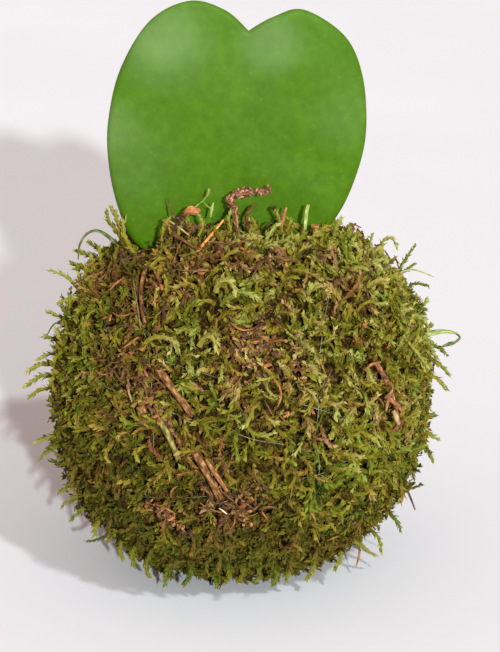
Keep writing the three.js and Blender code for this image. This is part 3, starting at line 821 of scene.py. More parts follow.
def feltedMossMat():
    # dead matted moss, brown, painted almost black as the shade deep between the shoots, with a few olive and
    # tan fibres
    material, tree, shader = newFinish("feltedMossMat")
    place = addNode(tree, "TexCoord").outputs["Object"]
    fibres = addNode(tree, "TexNoise", {
        "Vector": place, "Scale": perMetre(mat["fibres"]), "Detail": 5.0, "Roughness": 0.7,
    })
    patches = addNode(tree, "TexNoise", {
        "Vector": place, "Scale": perMetre(mat["patches"]), "Detail": 2.0,
    })
    olive = addRamp(tree, fibres.outputs["Fac"], [(0.42, "#1e1606"), (0.55, "#443a10"), (0.7, "#7a7128")])
    tan = addRamp(tree, fibres.outputs["Fac"], [(0.42, "#22160a"), (0.55, "#4c3317"), (0.7, "#8a6438")])
    colour = mixColours(tree, patches.outputs["Fac"], olive, tan)
    bump = addNode(tree, "Bump", {
        "Height": fibres.outputs["Fac"], "Strength": 1.0, "Distance": mat["relief"] * mm,
    })
    setInputs(tree, shader, {
        "Base Color": colour, "Roughness": 1.0, "Normal": bump.outputs["Normal"],
        "Specular IOR Level": 0.05,
    })
    return material


def makeMat():
    # the felted core: an outer face with bumps, cut flat where it rests, and an inner face round
    # the soil
    def shell(rows, columns, radiusOf):
        polar = np.linspace(0, np.pi, rows + 1)[1:-1, None]
        round_ = 2 * np.pi * np.arange(columns) / columns
        direction = np.stack(np.broadcast_arrays(
            np.sin(polar) * np.cos(round_), np.sin(polar) * np.sin(round_), np.cos(polar)), -1)
        return centre + direction * radiusOf(direction)[..., None]

    def outerRadius(direction):
        spot = direction * ball["halfWidth"]
        bumps = mat["bumps"] * ripple(spot, mat["bumpWidth"], waves=14, seed=2)
        fine = mat["fineBumps"] * ripple(spot, mat["fineWidth"], waves=14, seed=3)
        raised = matRadius(direction) - mat["inset"] + bumps + fine
        return raised - mat["hollowDepth"] * nearSpots(direction, hollows)

    def innerRadius(direction):
        return smoothRadius(direction, ball["coatThickness"] - ball["gap"])

    outer = shell(mat["rows"], mat["columns"], outerRadius)
    outer[..., 2] = np.maximum(outer[..., 2], mat["lowest"])
    inner = shell(mat["innerRows"], 2 * mat["innerRows"], innerRadius)
    outerShell, (points, faces) = cappedGrid(outer), cappedGrid(inner)
    points, faces = joined([outerShell, (points, faces[:, ::-1])])
    addPiece("mossMat", points, faces, feltedMossMat(), "moss", ["moss_coat"])


# Lengths are in mm, tilts and spreads in degrees, turns in radians, and kinds and tones are
# places in the palette; litterKind, litterShade and litterDead are what the litter spots change.
# The shade values paint shade into the tone: lighter towards +X and the top, darker towards -X
# and the bottom, at the clump borders and in the hollows
moss = dict(
    seed=11, count=3600, scatter=0.018, sunk=2.2, lowestFoot=0.6,
    length=(4.2, 6.9), tiltRoot=(0, 50), tiltTip=(55, 145), curl=2.6, stray=0.9, pathSteps=7,
    clumps=420, clumpScatter=0.05, clumpTurn=1.8, clumpTone=0.07, clumpKind=0.06,
    clumpLength=(0.85, 1.25), clumpBorder=0.045, borderLength=0.62, paintedBorderShade=0.14,
    leaflets=16, leafletLength=(1.4, 2.2), leafletWidth=0.5, fold=0.12, sickle=0.28,
    spread=(30, 14), body=(0.62, 0.3), bodySides=5, plump=(0.75, 1.2), ringEvery=1, pressed=1.0,
    offGround=2.0, lowest=0.8, offTwig=1.0, offLeaf=1.1, shortFoot=0.15, footRange=(0.5, 0.85),
    kind=0.37, kindSpread=0.09, litterKind=0.15, tone=0.52, toneSpread=0.08, litterShade=0.06,
    deadShare=0.08, litterDead=0.6, deadKind=(0.6, 0.95), deadPlump=0.75,
    paintedShadeAcross=0.06, paintedShadeDown=0.5, paintedShadeTop=0.25, paintedShadeMiddle=0.1, paintedHollowShade=0.3,
)
# The underlayer lies under the other shoots, and its lower tone paints shade on it
underlayer = dict(
    moss, seed=12, count=3800, sunk=2.8, length=(3.5, 6.5), tiltRoot=(10, 55), tiltTip=(60, 100),
    clumpTurn=0.6, stray=2.6, leaflets=8, leafletLength=(1.6, 2.3), leafletWidth=0.56,
    ringEvery=2, body=(0.45, 0.22), pressed=0.3, tone=0.26,
)
# The pieces of each layer: name, and between which upward parts of the direction its shoots stand
layers = [
    (moss, [
        ("mossFoot", -1, -0.5), ("mossLower", -0.5, 0), ("mossUpper", 0, 0.5), ("mossCrown", 0.5, 1),
    ]),
    (underlayer, [("mossUnderlayerUpper", 0, 1), ("mossUnderlayerLower", -1, 0)]),
]

# Where the moss lies low, with painted shade on its shoots: azimuth, elevation, reach in mm, depth
hollows = [
    (-53, 46, 3.6, 0.9), (-53, 32.5, 3.4, 0.8), (-79, 60, 4.2, 0.95), (-88, 66, 4.0, 0.9), (35, 82, 2.6, 0.7),
    (-43, 8, 2.6, 0.8), (-34, -2, 2.8, 0.8), (-24, -12, 2.6, 0.8), (12, -14, 2.4, 0.7), (30, 22, 2.2, 0.7),
    (-14, 47, 2.6, 0.75), (5, 50, 2.4, 0.7), (42, -6, 2.4, 0.7), (-30, 34, 2.4, 0.7), (0, 0, 2.2, 0.6),
    (96, 30, 3.2, 0.8), (120, -4, 2.8, 0.8), (150, 18, 3.0, 0.8), (178, 44, 3.4, 0.8), (196, 0, 2.8, 0.8),
    (236, 26, 3.0, 0.8), (-96, 22, 3.0, 0.8), (-112, -10, 2.8, 0.8), (78, 8, 2.4, 0.7),
    (-60, 14, 2.6, 0.8), (-66, -4, 2.6, 0.8), (-54, -14, 2.6, 0.8), (-70, 26, 2.8, 0.8), (-46, -24, 2.6, 0.8),
    (-36, 22, 2.2, 0.7), (-76, 6, 2.6, 0.8), (-62, 42, 2.6, 0.7), (-26, 4, 2.2, 0.7),
    (-30, 61, 3.8, 0.9), (-31, 68, 3.2, 0.85), (-32, 55, 3.2, 0.8), (-34, 49, 2.6, 0.5),
    (-9, 52, 2.4, 0.8), (-11, 35, 2.2, 0.8), (-27, 45, 2.4, 0.7), (-17, 26, 2.2, 0.7), (22, 40, 2.2, 0.6),
]

# Where the shoots stand longer, and shorter: azimuth, elevation, reach in mm, share
tufts = [
    (-75, 40, 10, 0.4), (-84, 18, 10, 0.35), (-90, 0, 9, 0.35), (-90, -16, 9, 0.4), (-86, -34, 9, 0.45),
    (88, -12, 9, 0.3), (88, 22, 9, 0.3), (50, -48, 8, 0.3), (-50, -50, 8, 0.3),
]
lowTufts = [(116, 50, 14, 0.4), (84, 52, 10, 0.3), (150, 56, 10, 0.2)]

# Where the moss is lighter or darker than round about: azimuth, elevation, reach in mm, tone
toneSpots = [
    (-65, 53, 11, -0.24), (-37, -10, 12, -0.12), (0, -4, 14, -0.12), (16, 60, 16, 0.1), (1, 34, 14, 0.1),
    (50, 24, 13, -0.08), (34, -9, 13, 0.08),
]


def toneAt(direction):
    # sum of the spots, each fading from its middle
    return sum(spot[3] * nearSpots(direction, [(*spot[:3], 1.0)]) for spot in toneSpots)


def swirl(direction):
    # radians that the shoots of one place turn away from hanging straight down
    x, y, z = np.moveaxis(direction, -1, 0)
    return 1.5 * np.sin(3.1 * x + 2.3 * z + 0.6) + 1.2 * np.sin(3.7 * y - 2.9 * x + 1.9)


# Where dead stems and litter show among the green: azimuth, elevation, reach in mm, amount
litterSpots = [
    (-41, 26, 8, 0.9), (-30, 19, 7, 0.95), (-20, 8, 7, 0.8), (-10, -4, 8, 0.9), (-3, -14, 8, 1.0),
    (-25, -18, 6, 1.0), (6, 33, 10, 0.9), (14, 20, 9, 0.6), (-66, 56, 11, 0.9), (-40, 44, 11, 0.85),
    (-20, 62, 9, 0.8), (0, 66, 10, 0.7), (30, 62, 9, 0.5), (50, 15, 6, 0.7), (45, 46, 6, 0.6),
    (170, 26, 9, 0.8), (214, -12, 9, 0.8), (120, 40, 10, 0.6), (-100, 5, 8, 0.7), (-150, 45, 10, 0.6),
    (123, -6, 8, 0.7), (60, -20, 6, 0.4), (20, -30, 6, 0.4),
]

# The blade's outline as reach by angle round its middle
outlineArms = bladeOutline(leaf["checkSteps"]) - np.array([0, leaf["middleHeight"]])
outlineAngles = np.arctan2(outlineArms[:, 1], outlineArms[:, 0])
outlineOrder = np.argsort(outlineAngles)
outlineAngles = outlineAngles[outlineOrder]
outlineReach = np.linalg.norm(outlineArms, axis=1)[outlineOrder]


def leafFrame(points):
    # points in the leaf's own frame: across, back, up
    x, y, z = np.moveaxis(points - np.array([leaf["baseX"], 0, leaf["baseHeight"]]), -1, 0)
    c, s = np.cos(leaf["roll"]), np.sin(leaf["roll"])
    x, z = x * c - z * s, x * s + z * c
    c, s = np.cos(leaf["lean"]), np.sin(leaf["lean"])
    return x, y * c - z * s, y * s + z * c


def offBlade(points, side, gap):
    # moves points that are in or near the blade out to the face that they started from
    x, y, z = leafFrame(points)
    arm = np.stack([x, z - leaf["middleHeight"]], -1)
    reach = np.interp(np.arctan2(arm[..., 1], arm[..., 0]), outlineAngles, outlineReach, period=2 * np.pi)
    near, far = leaf["pushReach"]
    within = 1 - smoothStep(np.linalg.norm(arm, axis=-1), reach + near, reach + far)
    need = leaf["thicknessMiddle"] / 2 + gap
    off = (y - bladeSag(x, z)) * side
    push = np.maximum(need - off, 0) * within
    return points + np.stack([np.zeros_like(x), push * side, np.zeros_like(x)], -1)


def offStanding(points, gap):
    # moves points out of the needle and the dead sprig, which stand free of the moss
    for path, radius in obstacles[len(scraps):]:
        distance, nearest = nearestOn(path, points)
        out = np.maximum(radius + gap - distance, 0)[..., None]
        points = points + unit(points - nearest) * out
    return points


# Moss near a lying scrap and in a hollow: each `kept` is the height that is never pressed down
clearing = dict(reach=7, amount=0.7, width=2.5, keptByScrap=0.5, keptInHollow=0.3)


def besideScraps(paths, gap):
    # a shoot stays on the side of a lying scrap that it is rooted on, and lies low near it
    height, direction = heightOver(paths)
    low = np.zeros(height.shape)
    for path, radius in obstacles[:len(scraps)]:
        axis = overMat(unit(path - centre), np.zeros(len(path)))
        along = unit(np.gradient(axis, axis=0))
        lying = overMat(direction, np.zeros(height.shape))
        gaps = np.linalg.norm(lying[..., None, :] - axis, axis=-1)
        nearest, distance = gaps.argmin(-1), gaps.min(-1)
        across = unit(np.cross(direction, along[nearest]))
        offset = ((lying - axis[nearest]) * across).sum(-1)
        side = np.where(offset[:, :1] < 0, -1.0, 1.0)
        over = (nearest > 0) & (nearest < len(path) - 1) & (distance < clearing["reach"])
        push = np.maximum(radius + gap - offset * side, 0) * over * side
        direction = unit(lying + across * push[..., None] - centre)
        fade = np.exp(-((distance / (radius + clearing["width"])) ** 2))
        low = np.maximum(low, clearing["amount"] * fade)
    return overMat(direction, height - low * np.maximum(height - clearing["keptByScrap"], 0))


def pressedLow(points, amount):
    # the moss lies low in its hollows, and under the thread where that shows
    height, direction = heightOver(points)
    low = amount * nearSpots(direction, hollows)
    bare = bareThread(direction)
    for axis, offset in thread["turns"]:
        angle = np.arccos(np.clip(direction @ unit(np.array(axis, float)), -1, 1))
        away = ball["halfWidth"] * np.abs(angle - np.arccos(offset))
        fade = np.exp(-((away / thread["pressedWidth"]) ** 2))
        low = np.maximum(low, thread["pressed"] * bare * fade)
    return overMat(direction, height - low * np.maximum(height - clearing["keptInHollow"], 0))


def squeezedOnGround(points, soft):
    # below `soft` the height falls off ever more slowly, so nothing reaches the ground
    z = points[..., 2]
    low = soft * np.exp((np.minimum(z, soft) - soft) / soft)
    return np.concatenate([points[..., :2], np.where(z < soft, low, z)[..., None]], -1)


def shootPaths(spec, direction, sunk, length, tilt, heading, curl):
    # a shoot starts in the mat, stands out at its first tilt and bends over to its last, while
    # its heading turns by `curl`; the path is the sum of its steps
    steps = spec["pathSteps"]
    share = (np.arange(steps) + 0.5) / steps
    down, beside = (v[:, None] for v in onFace(direction))
    lean = mix(tilt[0][:, None], tilt[1][:, None], share)[..., None]
    turn = (heading[:, None] + curl[:, None] * share)[..., None]
    aim = np.cos(lean) * direction[:, None] + np.sin(lean) * (np.cos(turn) * down + np.sin(turn) * beside)
    start = overMat(direction, -sunk)[:, None]
    path = np.concatenate([start, start + np.cumsum(aim * (length / steps)[:, None, None], 1)], 1)
    guide = unit(np.cross(direction, aim[:, 0]) + 1e-6)
    side = np.where(leafFrame(path[:, 0])[1] > 0, 1.0, -1.0)[:, None]
    path = pressedLow(besideScraps(path, spec["offTwig"]), spec["pressed"])
    path = offStanding(offBlade(path, side, spec["offLeaf"]), spec["offTwig"])
    return squeezedOnGround(path, spec["offGround"]), guide


# A leaflet: corners are its foot, its tip and its two sides, `sunk` is where it starts in the
# body's radius, `widest` where it is widest in its length, and each stray is a random spread
leaflet = dict(
    along=(0.08, 0.985), turnStray=0.3, spreadStray=8, spreadShape=1.3, length=(0.72, 0.28),
    width=(0.8, 0.4), sunk=0.8, droop=(0.05, 0.1), widest=0.4,
    stray=0.02, toneAlong=(-0.16, 0.1), kinds=(0.04, 0.96), tones=(0.12, 0.88),
    cornerKinds=(0, 0, -0.008, 0.008), cornerTones=(-0.04, 0.07, 0.01, 0.01),
)
shootBody = dict(darker=0.2, lighterTip=0.22, tones=(0.05, 0.9), browner=0.05, kindStep=0.012)


def shootLeaflets(spec, path, guide, plump, kind, tone, random):
    # leaflets pressed to the body in a golden-angle spiral: each is a keeled, slightly sickled
    # blade of four triangles that only stands out at its tip
    count, knots = path.shape[:2]
    leaflets = spec["leaflets"]
    share = mix(*leaflet["along"], np.arange(leaflets) / (leaflets - 1))
    place = share * (knots - 1)
    left = np.minimum(place.astype(int), knots - 2)
    part = (place - left)[None, :, None]
    spot = path[:, left] * (1 - part) + path[:, left + 1] * part
    ways = np.gradient(path, axis=1)
    along = unit(ways[:, left] * (1 - part) + ways[:, left + 1] * part)
    first = unit(guide[:, None] - dot(guide[:, None], along) * along)
    second = np.cross(along, first)
    angle = goldenAngle * np.arange(leaflets) + random.uniform(0, 2 * np.pi, (count, 1))
    angle = (angle + random.normal(0, leaflet["turnStray"], (count, leaflets)))[..., None]
    outward = np.cos(angle) * first + np.sin(angle) * second
    spread = mix(*spec["spread"], share ** leaflet["spreadShape"])
    spread = np.radians(spread + random.normal(0, leaflet["spreadStray"], (count, leaflets)))[..., None]
    forward = np.cos(spread) * along + np.sin(spread) * outward
    across = np.cross(along, outward)
    inner = np.cross(forward, across)
    bodyHere = mix(*spec["body"], share)[None, :, None] * plump[:, None, None]
    size = mix(*spec["leafletLength"], random.random((count, leaflets)))
    least, more = leaflet["length"]
    size = (size * plump[:, None] * (least + more * np.sin(np.pi * (0.2 + 0.7 * share))))[..., None]
    least, more = leaflet["width"]
    width = spec["leafletWidth"] * (least + more * random.random((count, leaflets, 1)))
    width = width * plump[:, None, None]
    foot = spot + outward * bodyHere * leaflet["sunk"]
    droop = inner * (size * random.normal(*leaflet["droop"], (count, leaflets, 1)))
    sickle = np.where(random.random((count, 1, 1)) < 0.5, -1, 1) * spec["sickle"]
    tip = foot + (forward + sickle * across) * size + droop
    middle = foot + forward * size * leaflet["widest"] + inner * spec["fold"]
    corners = np.stack([foot, tip, middle + across * width, middle - across * width], 2)
    faces = np.array([[0, 2, 1], [0, 1, 3], [0, 3, 2], [2, 3, 1]])
    faces = (np.arange(count * leaflets)[:, None, None] * 4 + faces).reshape(-1, 3)
    kindHere = kind[:, None] + random.normal(0, leaflet["stray"], (count, leaflets))
    toneHere = tone[:, None] + mix(*leaflet["toneAlong"], share)
    toneHere = toneHere + random.normal(0, leaflet["stray"], (count, leaflets))
    kinds = np.clip(kindHere, *leaflet["kinds"])[..., None] + np.array(leaflet["cornerKinds"])
    tones = np.clip(toneHere, *leaflet["tones"])[..., None] + np.array(leaflet["cornerTones"])
    return corners.reshape(-1, 3), faces, np.stack([kinds, tones], -1).reshape(-1, 2)


def shootBodies(spec, path, guide, plump, kind, tone):
    # plump tapering bodies: rings along each path, closed at the root and drawn to the tip
    count = len(path)
    rings, sides = path[:, ::spec["ringEvery"]][:, :-1], spec["bodySides"]
    ringCount = rings.shape[1]
    way = unit(np.gradient(path, axis=1)[:, ::spec["ringEvery"]][:, :-1])
    one = unit(guide[:, None] - dot(guide[:, None], way) * way)
    two = np.cross(way, one)
    turn = 2 * np.pi * np.arange(sides) / sides
    spoke = np.cos(turn)[:, None] * one[:, :, None] + np.sin(turn)[:, None] * two[:, :, None]
    radius = np.linspace(*spec["body"], ringCount)[None, :, None, None] * plump[:, None, None, None]
    points = (rings[:, :, None] + spoke * radius).reshape(count, -1, 3)
    points = np.concatenate([points, path[:, -1:]], 1)
    last, top = sides * (ringCount - 1), sides * ringCount
    k = np.arange(sides)
    tipFan = np.stack([last + k, last + (k + 1) % sides, np.full(sides, top)], 1)
    rootFan = np.stack([np.zeros(sides - 2, int), k[2:], k[1:-1]], 1)
    oneBody = np.concatenate([gridFaces(ringCount, sides), tipFan, rootFan])
    faces = (np.arange(count)[:, None, None] * (top + 1) + oneBody).reshape(-1, 3)
    tones = tone[:, None] - shootBody["darker"] + shootBody["lighterTip"] * np.linspace(0, 1, top + 1)
    kinds = kind[:, None] + shootBody["browner"] + shootBody["kindStep"] * (np.arange(top + 1) % 3)
    kinds, tones = np.clip(kinds, *leaflet["kinds"]), np.clip(tones, *shootBody["tones"])
    uv = np.stack(np.broadcast_arrays(kinds, tones), -1).reshape(-1, 2)
    return points.reshape(-1, 3), faces, uv


def shootShells(spec, path, guide, plump, kind, tone, random):
    # shoots as points, faces and places in the palette, kept off the ground
    blades, bladeFaces, bladeUv = shootLeaflets(spec, path, guide, plump, kind, tone, random)
    bodies, bodyFaces, bodyUv = shootBodies(spec, path, guide, plump, kind, tone)
    points, faces = joined([(blades, bladeFaces), (bodies, bodyFaces)])
    return squeezedOnGround(points, spec["lowest"]), faces, np.concatenate([bladeUv, bodyUv])


def growMoss(spec):
    # shoots spread evenly over the ball: those nearest to one clump's middle share its turn,
    # length, kind and tone, and the borders between clumps are shorter and painted darker as shade
    random = np.random.default_rng(spec["seed"])
    direction = evenDirections(spec["count"], spec["scatter"], random)
    foot = overMat(direction, np.zeros(len(direction)))[:, 2]
    direction = direction[foot > spec["lowestFoot"]]
    count = len(direction)
    clumpAt = evenDirections(spec["clumps"], spec["clumpScatter"], random)
    nearness = direction @ clumpAt.T
    clump = nearness.argmax(1)
    nearest = np.arccos(np.clip(np.partition(nearness, -2, 1)[:, -2:], -1, 1))
    inside = smoothStep(nearest[:, 0] - nearest[:, 1], 0, spec["clumpBorder"])
    clumpTurn = random.uniform(-1, 1, spec["clumps"])[clump] * spec["clumpTurn"]
    clumpTone = random.normal(0, spec["clumpTone"], spec["clumps"])[clump]
    clumpKind = random.normal(0, spec["clumpKind"], spec["clumps"])[clump]
    clumpLength = random.uniform(*spec["clumpLength"], spec["clumps"])[clump]
    length = random.uniform(*spec["length"], count) * clumpLength
    length *= mix(spec["borderLength"], 1, inside)
    length *= 1 - spec["shortFoot"] * smoothStep(-direction[:, 2], *spec["footRange"])
    length *= 1 + nearSpots(direction, tufts) - nearSpots(direction, lowTufts)
    tilt = [np.radians(random.uniform(*spec[k], count)) for k in ("tiltRoot", "tiltTip")]
    heading = swirl(direction) + clumpTurn + random.normal(0, spec["stray"], count)
    curl = random.uniform(-1, 1, count) * spec["curl"]
    litterHere = nearSpots(direction, litterSpots)
    dead = random.random(count) < spec["deadShare"] + spec["litterDead"] * litterHere ** 1.5
    kind = spec["kind"] + clumpKind + random.normal(0, spec["kindSpread"], count)
    kind = kind + spec["litterKind"] * litterHere
    kind = np.where(dead, random.uniform(*spec["deadKind"], count), kind)
    tone = spec["tone"] + clumpTone + random.normal(0, spec["toneSpread"], count)
    tone = tone - spec["litterShade"] * litterHere
    # painted light and shade: the tone is lighter towards +X and the top, darker towards -X and the bottom
    rise = np.minimum(direction[:, 2], spec["paintedShadeTop"]) - spec["paintedShadeMiddle"]
    tone += spec["paintedShadeAcross"] * direction[:, 0] + spec["paintedShadeDown"] * rise
    # painted shade: darker at the clump borders
    tone = tone + toneAt(direction) - spec["paintedBorderShade"] * (1 - inside)
    # painted shade: darker in the hollows
    tone = tone - spec["paintedHollowShade"] * nearSpots(direction, hollows)
    sunk = np.full(count, spec["sunk"])
    path, guide = shootPaths(spec, direction, sunk, length, tilt, heading, curl)
    plump = random.uniform(*spec["plump"], count) * np.where(dead, spec["deadPlump"], 1)
    return direction, path, guide, plump, kind, tone, random


def makeMoss():
    # each layer is cut into pieces by height
    leafy = leafyMoss()
    for spec, pieces in layers:
        direction, *rest, random = growMoss(spec)
        for name, low, high in pieces:
            inBand = (direction[:, 2] > low) & (direction[:, 2] <= high)
            points, faces, uv = shootShells(spec, *(values[inBand] for values in rest), random)
            addPiece(name, points, faces, leafy, "moss", ["moss_coat"], uv, "OFBake", False)


makeMat()
makeMoss()
print("moss made")


# Sprigs that stand out against the light, and shoots that arch over the others: path in the view,
# kind, tone and plumpness
sprigs = [
    ([(25.5, 32, 2), (26.2, 36, 2), (25.6, 39.6, 2)], 0.3, 0.55, 0.8),
    ([(31, 31, 2), (30.6, 35, 2), (29.4, 38, 2)], 0.3, 0.6, 0.8),
    ([(31, 31, 0), (31.8, 36, 0), (33, 40, 0)], 0.24, 0.5, 0.7),
    ([(35, 29, 0), (35.2, 36, 0), (36.2, 39.2, 0), (38.2, 39, 0), (39.2, 37, 0)], 0.34, 0.66, 0.95),
    ([(38, 27, 0), (40.5, 32.5, 0), (43.6, 37, 0)], 0.16, 0.42, 0.8),
    ([(38, 28, -2), (41.4, 31, -2), (44, 32.8, -2)], 0.2, 0.45, 0.65),
    ([(40, 25, 0), (43.5, 27.6, 0), (46.9, 27.2, 0)], 0.1, 0.36, 0.7),
    ([(45, 12, 2), (48.4, 12.2, 2), (51.6, 9.8, 2)], 0.2, 0.5, 0.8),
    ([(45.5, 9, 2), (49.4, 7.6, 2), (52.4, 4.6, 2)], 0.3, 0.6, 0.85),
    ([(45, 5, 2), (48.8, 4, 2), (51.4, 1.2, 2)], 0.38, 0.6, 0.9),
    ([(-41, 26, 0), (-44.6, 29.6, 0), (-48.4, 31, 0)], 0.28, 0.7, 0.85),
    ([(-41, 18, 0), (-43.4, 21.6, 0), (-45.6, 24.4, 0)], 0.14, 0.4, 0.7),
    ([(-41, 16, 0), (-45.4, 19, 0), (-49.2, 20.6, 0)], 0.26, 0.55, 0.85),
    ([(-44, 9, 0), (-48.4, 10, 0), (-51.4, 8.6, 0)], 0.3, 0.62, 0.9),
    ([(-45, 7, 0), (-50, 7.6, 0), (-54.4, 5.4, 0)], 0.3, 0.62, 1.0),
    ([(-45, 4, 0), (-50.4, 4.4, 0), (-54.8, 1.8, 0)], 0.32, 0.6, 1.0),
    ([(-45, 1, 0), (-50, 1.2, 0), (-53.6, -0.8, 0)], 0.3, 0.5, 0.9),
    ([(-26, 34, 15), (-29.6, 39, 15), (-30.6, 43, 15), (-32, 46, 15)], 0.38, 0.5, 1.15),
    ([(-28, 37, 14), (-31.4, 41, 14), (-33.2, 43.6, 14), (-33.2, 45, 14)], 0.3, 0.4, 0.9),
    ([(-25, 33, 17), (-28, 37, 17), (-29.2, 41, 17), (-28.8, 43, 17)], 0.42, 0.56, 1.1),
    ([(-30, -33.5, 2), (-35, -36.4, 2), (-39.2, -37.4, 2)], 0.1, 0.2, 0.7),
    ([(34.5, -28, 0), (38.4, -31.4, 0), (40.2, -35, 0)], 0.14, 0.36, 0.85),
    ([(30.5, -33, 0), (34.4, -36.4, 0), (35.2, -40.2, 0)], 0.28, 0.52, 0.85),
    ([(26, -35, 2), (30, -38.6, 2), (33.2, -40.6, 2)], 0.34, 0.56, 0.9),
    ([(-44, -9.5, 2), (-48.4, -11, 2), (-51.6, -12, 2)], 0.34, 0.55, 0.9),
    ([(-44, -12.5, 1), (-48.6, -14.4, 1), (-51.2, -16.6, 1)], 0.28, 0.5, 0.8),
    ([(43, -8, 2), (46.6, -10, 2), (49.2, -11.4, 2)], 0.36, 0.58, 0.9),
    ([(42.5, -12, 1), (46.6, -14.6, 1), (48.2, -17, 1)], 0.3, 0.55, 0.85),
    ([(9.8, 39.6, 22), (9.1, 43, 22), (8.1, 45.1, 22)], 0.44, 0.58, 0.75),
    ([(-8.5, 48.5, 22), (-8.2, 49.1, 22), (-8.0, 49.8, 22)], 0.2, 0.8, 0.5),
    ([(1.6, 40, 23), (1.2, 43.4, 23), (2.9, 46.2, 22.5)], 0.9, 0.3, 0.7),
    ([(-2.6, 40, 24), (-3.2, 43, 24), (-2.4, 45, 23.5)], 0.34, 0.62, 0.6),
    ([(22.4, 38, 16), (23.2, 41.4, 16), (24.4, 43.4, 16)], 0.3, 0.7, 0.8),
    ([(-33, -29, 10), (-36, -32, 9), (-36.6, -34.6, 9)], 0.36, 0.5, 1.0),
    ([(-28, -34, 13), (-30.2, -38, 11), (-29.6, -41, 10)], 0.34, 0.45, 1.0),
    ([(-22, -38, 15), (-23.6, -41.8, 13), (-23.2, -44.8, 11.5)], 0.3, 0.35, 0.95),
    ([(-17, -40, 16), (-18.4, -43.8, 13.5), (-19, -46.6, 12)], 0.2, 0.3, 1.0),
    ([(-13, -41, 16), (-12.6, -44.4, 13.5), (-14.2, -46.8, 12)], 0.16, 0.28, 0.95),
    ([(-6, -41, 17), (-6.8, -44, 14), (-6.2, -46.6, 12)], 0.12, 0.4, 0.95),
    ([(0.5, -41, 17), (0.2, -44, 14), (-1, -46, 12)], 0.3, 0.36, 0.85),
    ([(7, -41, 17), (8.4, -44.2, 14), (8, -46.8, 12.5)], 0.2, 0.32, 0.95),
    ([(12, -40, 16), (11.6, -43.2, 14), (11, -46, 12)], 0.34, 0.44, 0.95),
    ([(3.5, -41, 17), (4.4, -44, 14.5), (3.4, -46.2, 13)], 0.26, 0.34, 0.9),
    ([(-3.4, -41.5, 17), (-3, -44.4, 14), (-4, -46.4, 12.5)], 0.36, 0.4, 0.85),
    ([(-25.4, -36, 14), (-27.4, -39.6, 12), (-26.6, -42.6, 11)], 0.3, 0.4, 0.95),
    ([(17, -39, 15), (17.6, -42.6, 13), (16.2, -45.6, 12)], 0.3, 0.46, 0.9),
    ([(24, -36, 12), (24.6, -40, 10), (23.2, -43.4, 10)], 0.34, 0.5, 0.95),
    ([(-34, 32, 2), (-38, 34.6, 2), (-41.3, 35.7, 2)], 0.34, 0.4, 1.0),
    ([(-36, 29, 2), (-39.6, 31.6, 2), (-42.8, 32.7, 2)], 0.3, 0.35, 1.0),
    ([(-33, 33, 4), (-35.8, 36, 3), (-38.6, 38.2, 3)], 0.36, 0.35, 0.9),
    ([(-37, -22, 4), (-41.4, -25.6, 3), (-44.8, -28.1, 3)], 0.34, 0.4, 1.0),
    ([(-36, -25, 4), (-39.8, -28.6, 3), (-42.6, -31.2, 3)], 0.3, 0.4, 1.0),
    ([(-39, -19, 3), (-43, -22.4, 2), (-45.9, -25.1, 2)], 0.3, 0.45, 0.9),
    ([(-42, 10, 2), (-46.4, 13, 2), (-49.9, 14.4, 2)], 0.3, 0.5, 0.95),
    ([(-19.5, 37.5, 23), (-19, 40.5, 22.5), (-17.6, 43, 22)], 0.45, 0.5, 0.7),
    ([(-17, 38, 24), (-17.6, 41, 23), (-18.8, 42.6, 22)], 0.6, 0.4, 0.6),
    ([(-15.5, 38, 24.5), (-15, 41, 23.5), (-13.2, 42.6, 23)], 0.4, 0.55, 0.7),
    ([(-13, 38, 25), (-12.4, 41, 24), (-13.4, 43.4, 23)], 0.7, 0.35, 0.6),
    ([(-10.5, 38.6, 25), (-9.4, 41.4, 24), (-10, 43.4, 23.4)], 0.34, 0.6, 0.7),
    ([(-6, 24.9, 43), (-5.3, 27, 44), (-4, 27.7, 44.5), (-2.4, 27.2, 44.5), (-1.5, 24.7, 44)],
     0.42, 0.72, 1.1),
    ([(-9.8, 12.3, 47.5), (-8.6, 14.2, 48.5), (-7.5, 14.6, 49), (-6.3, 13.7, 49), (-5.8, 11.6, 48.5)],
     0.42, 0.7, 1.1),
    ([(-1.2, 25.1, 43), (0.9, 24.7, 44.5), (3.7, 23.5, 44.5)], 0.24, 0.82, 1.0),
    ([(-23.3, 11.3, 42.5), (-21.6, 13.8, 43.5), (-17.7, 14.4, 45.5), (-15, 12.6, 46.5)], 0.42, 0.64, 1.15),
]
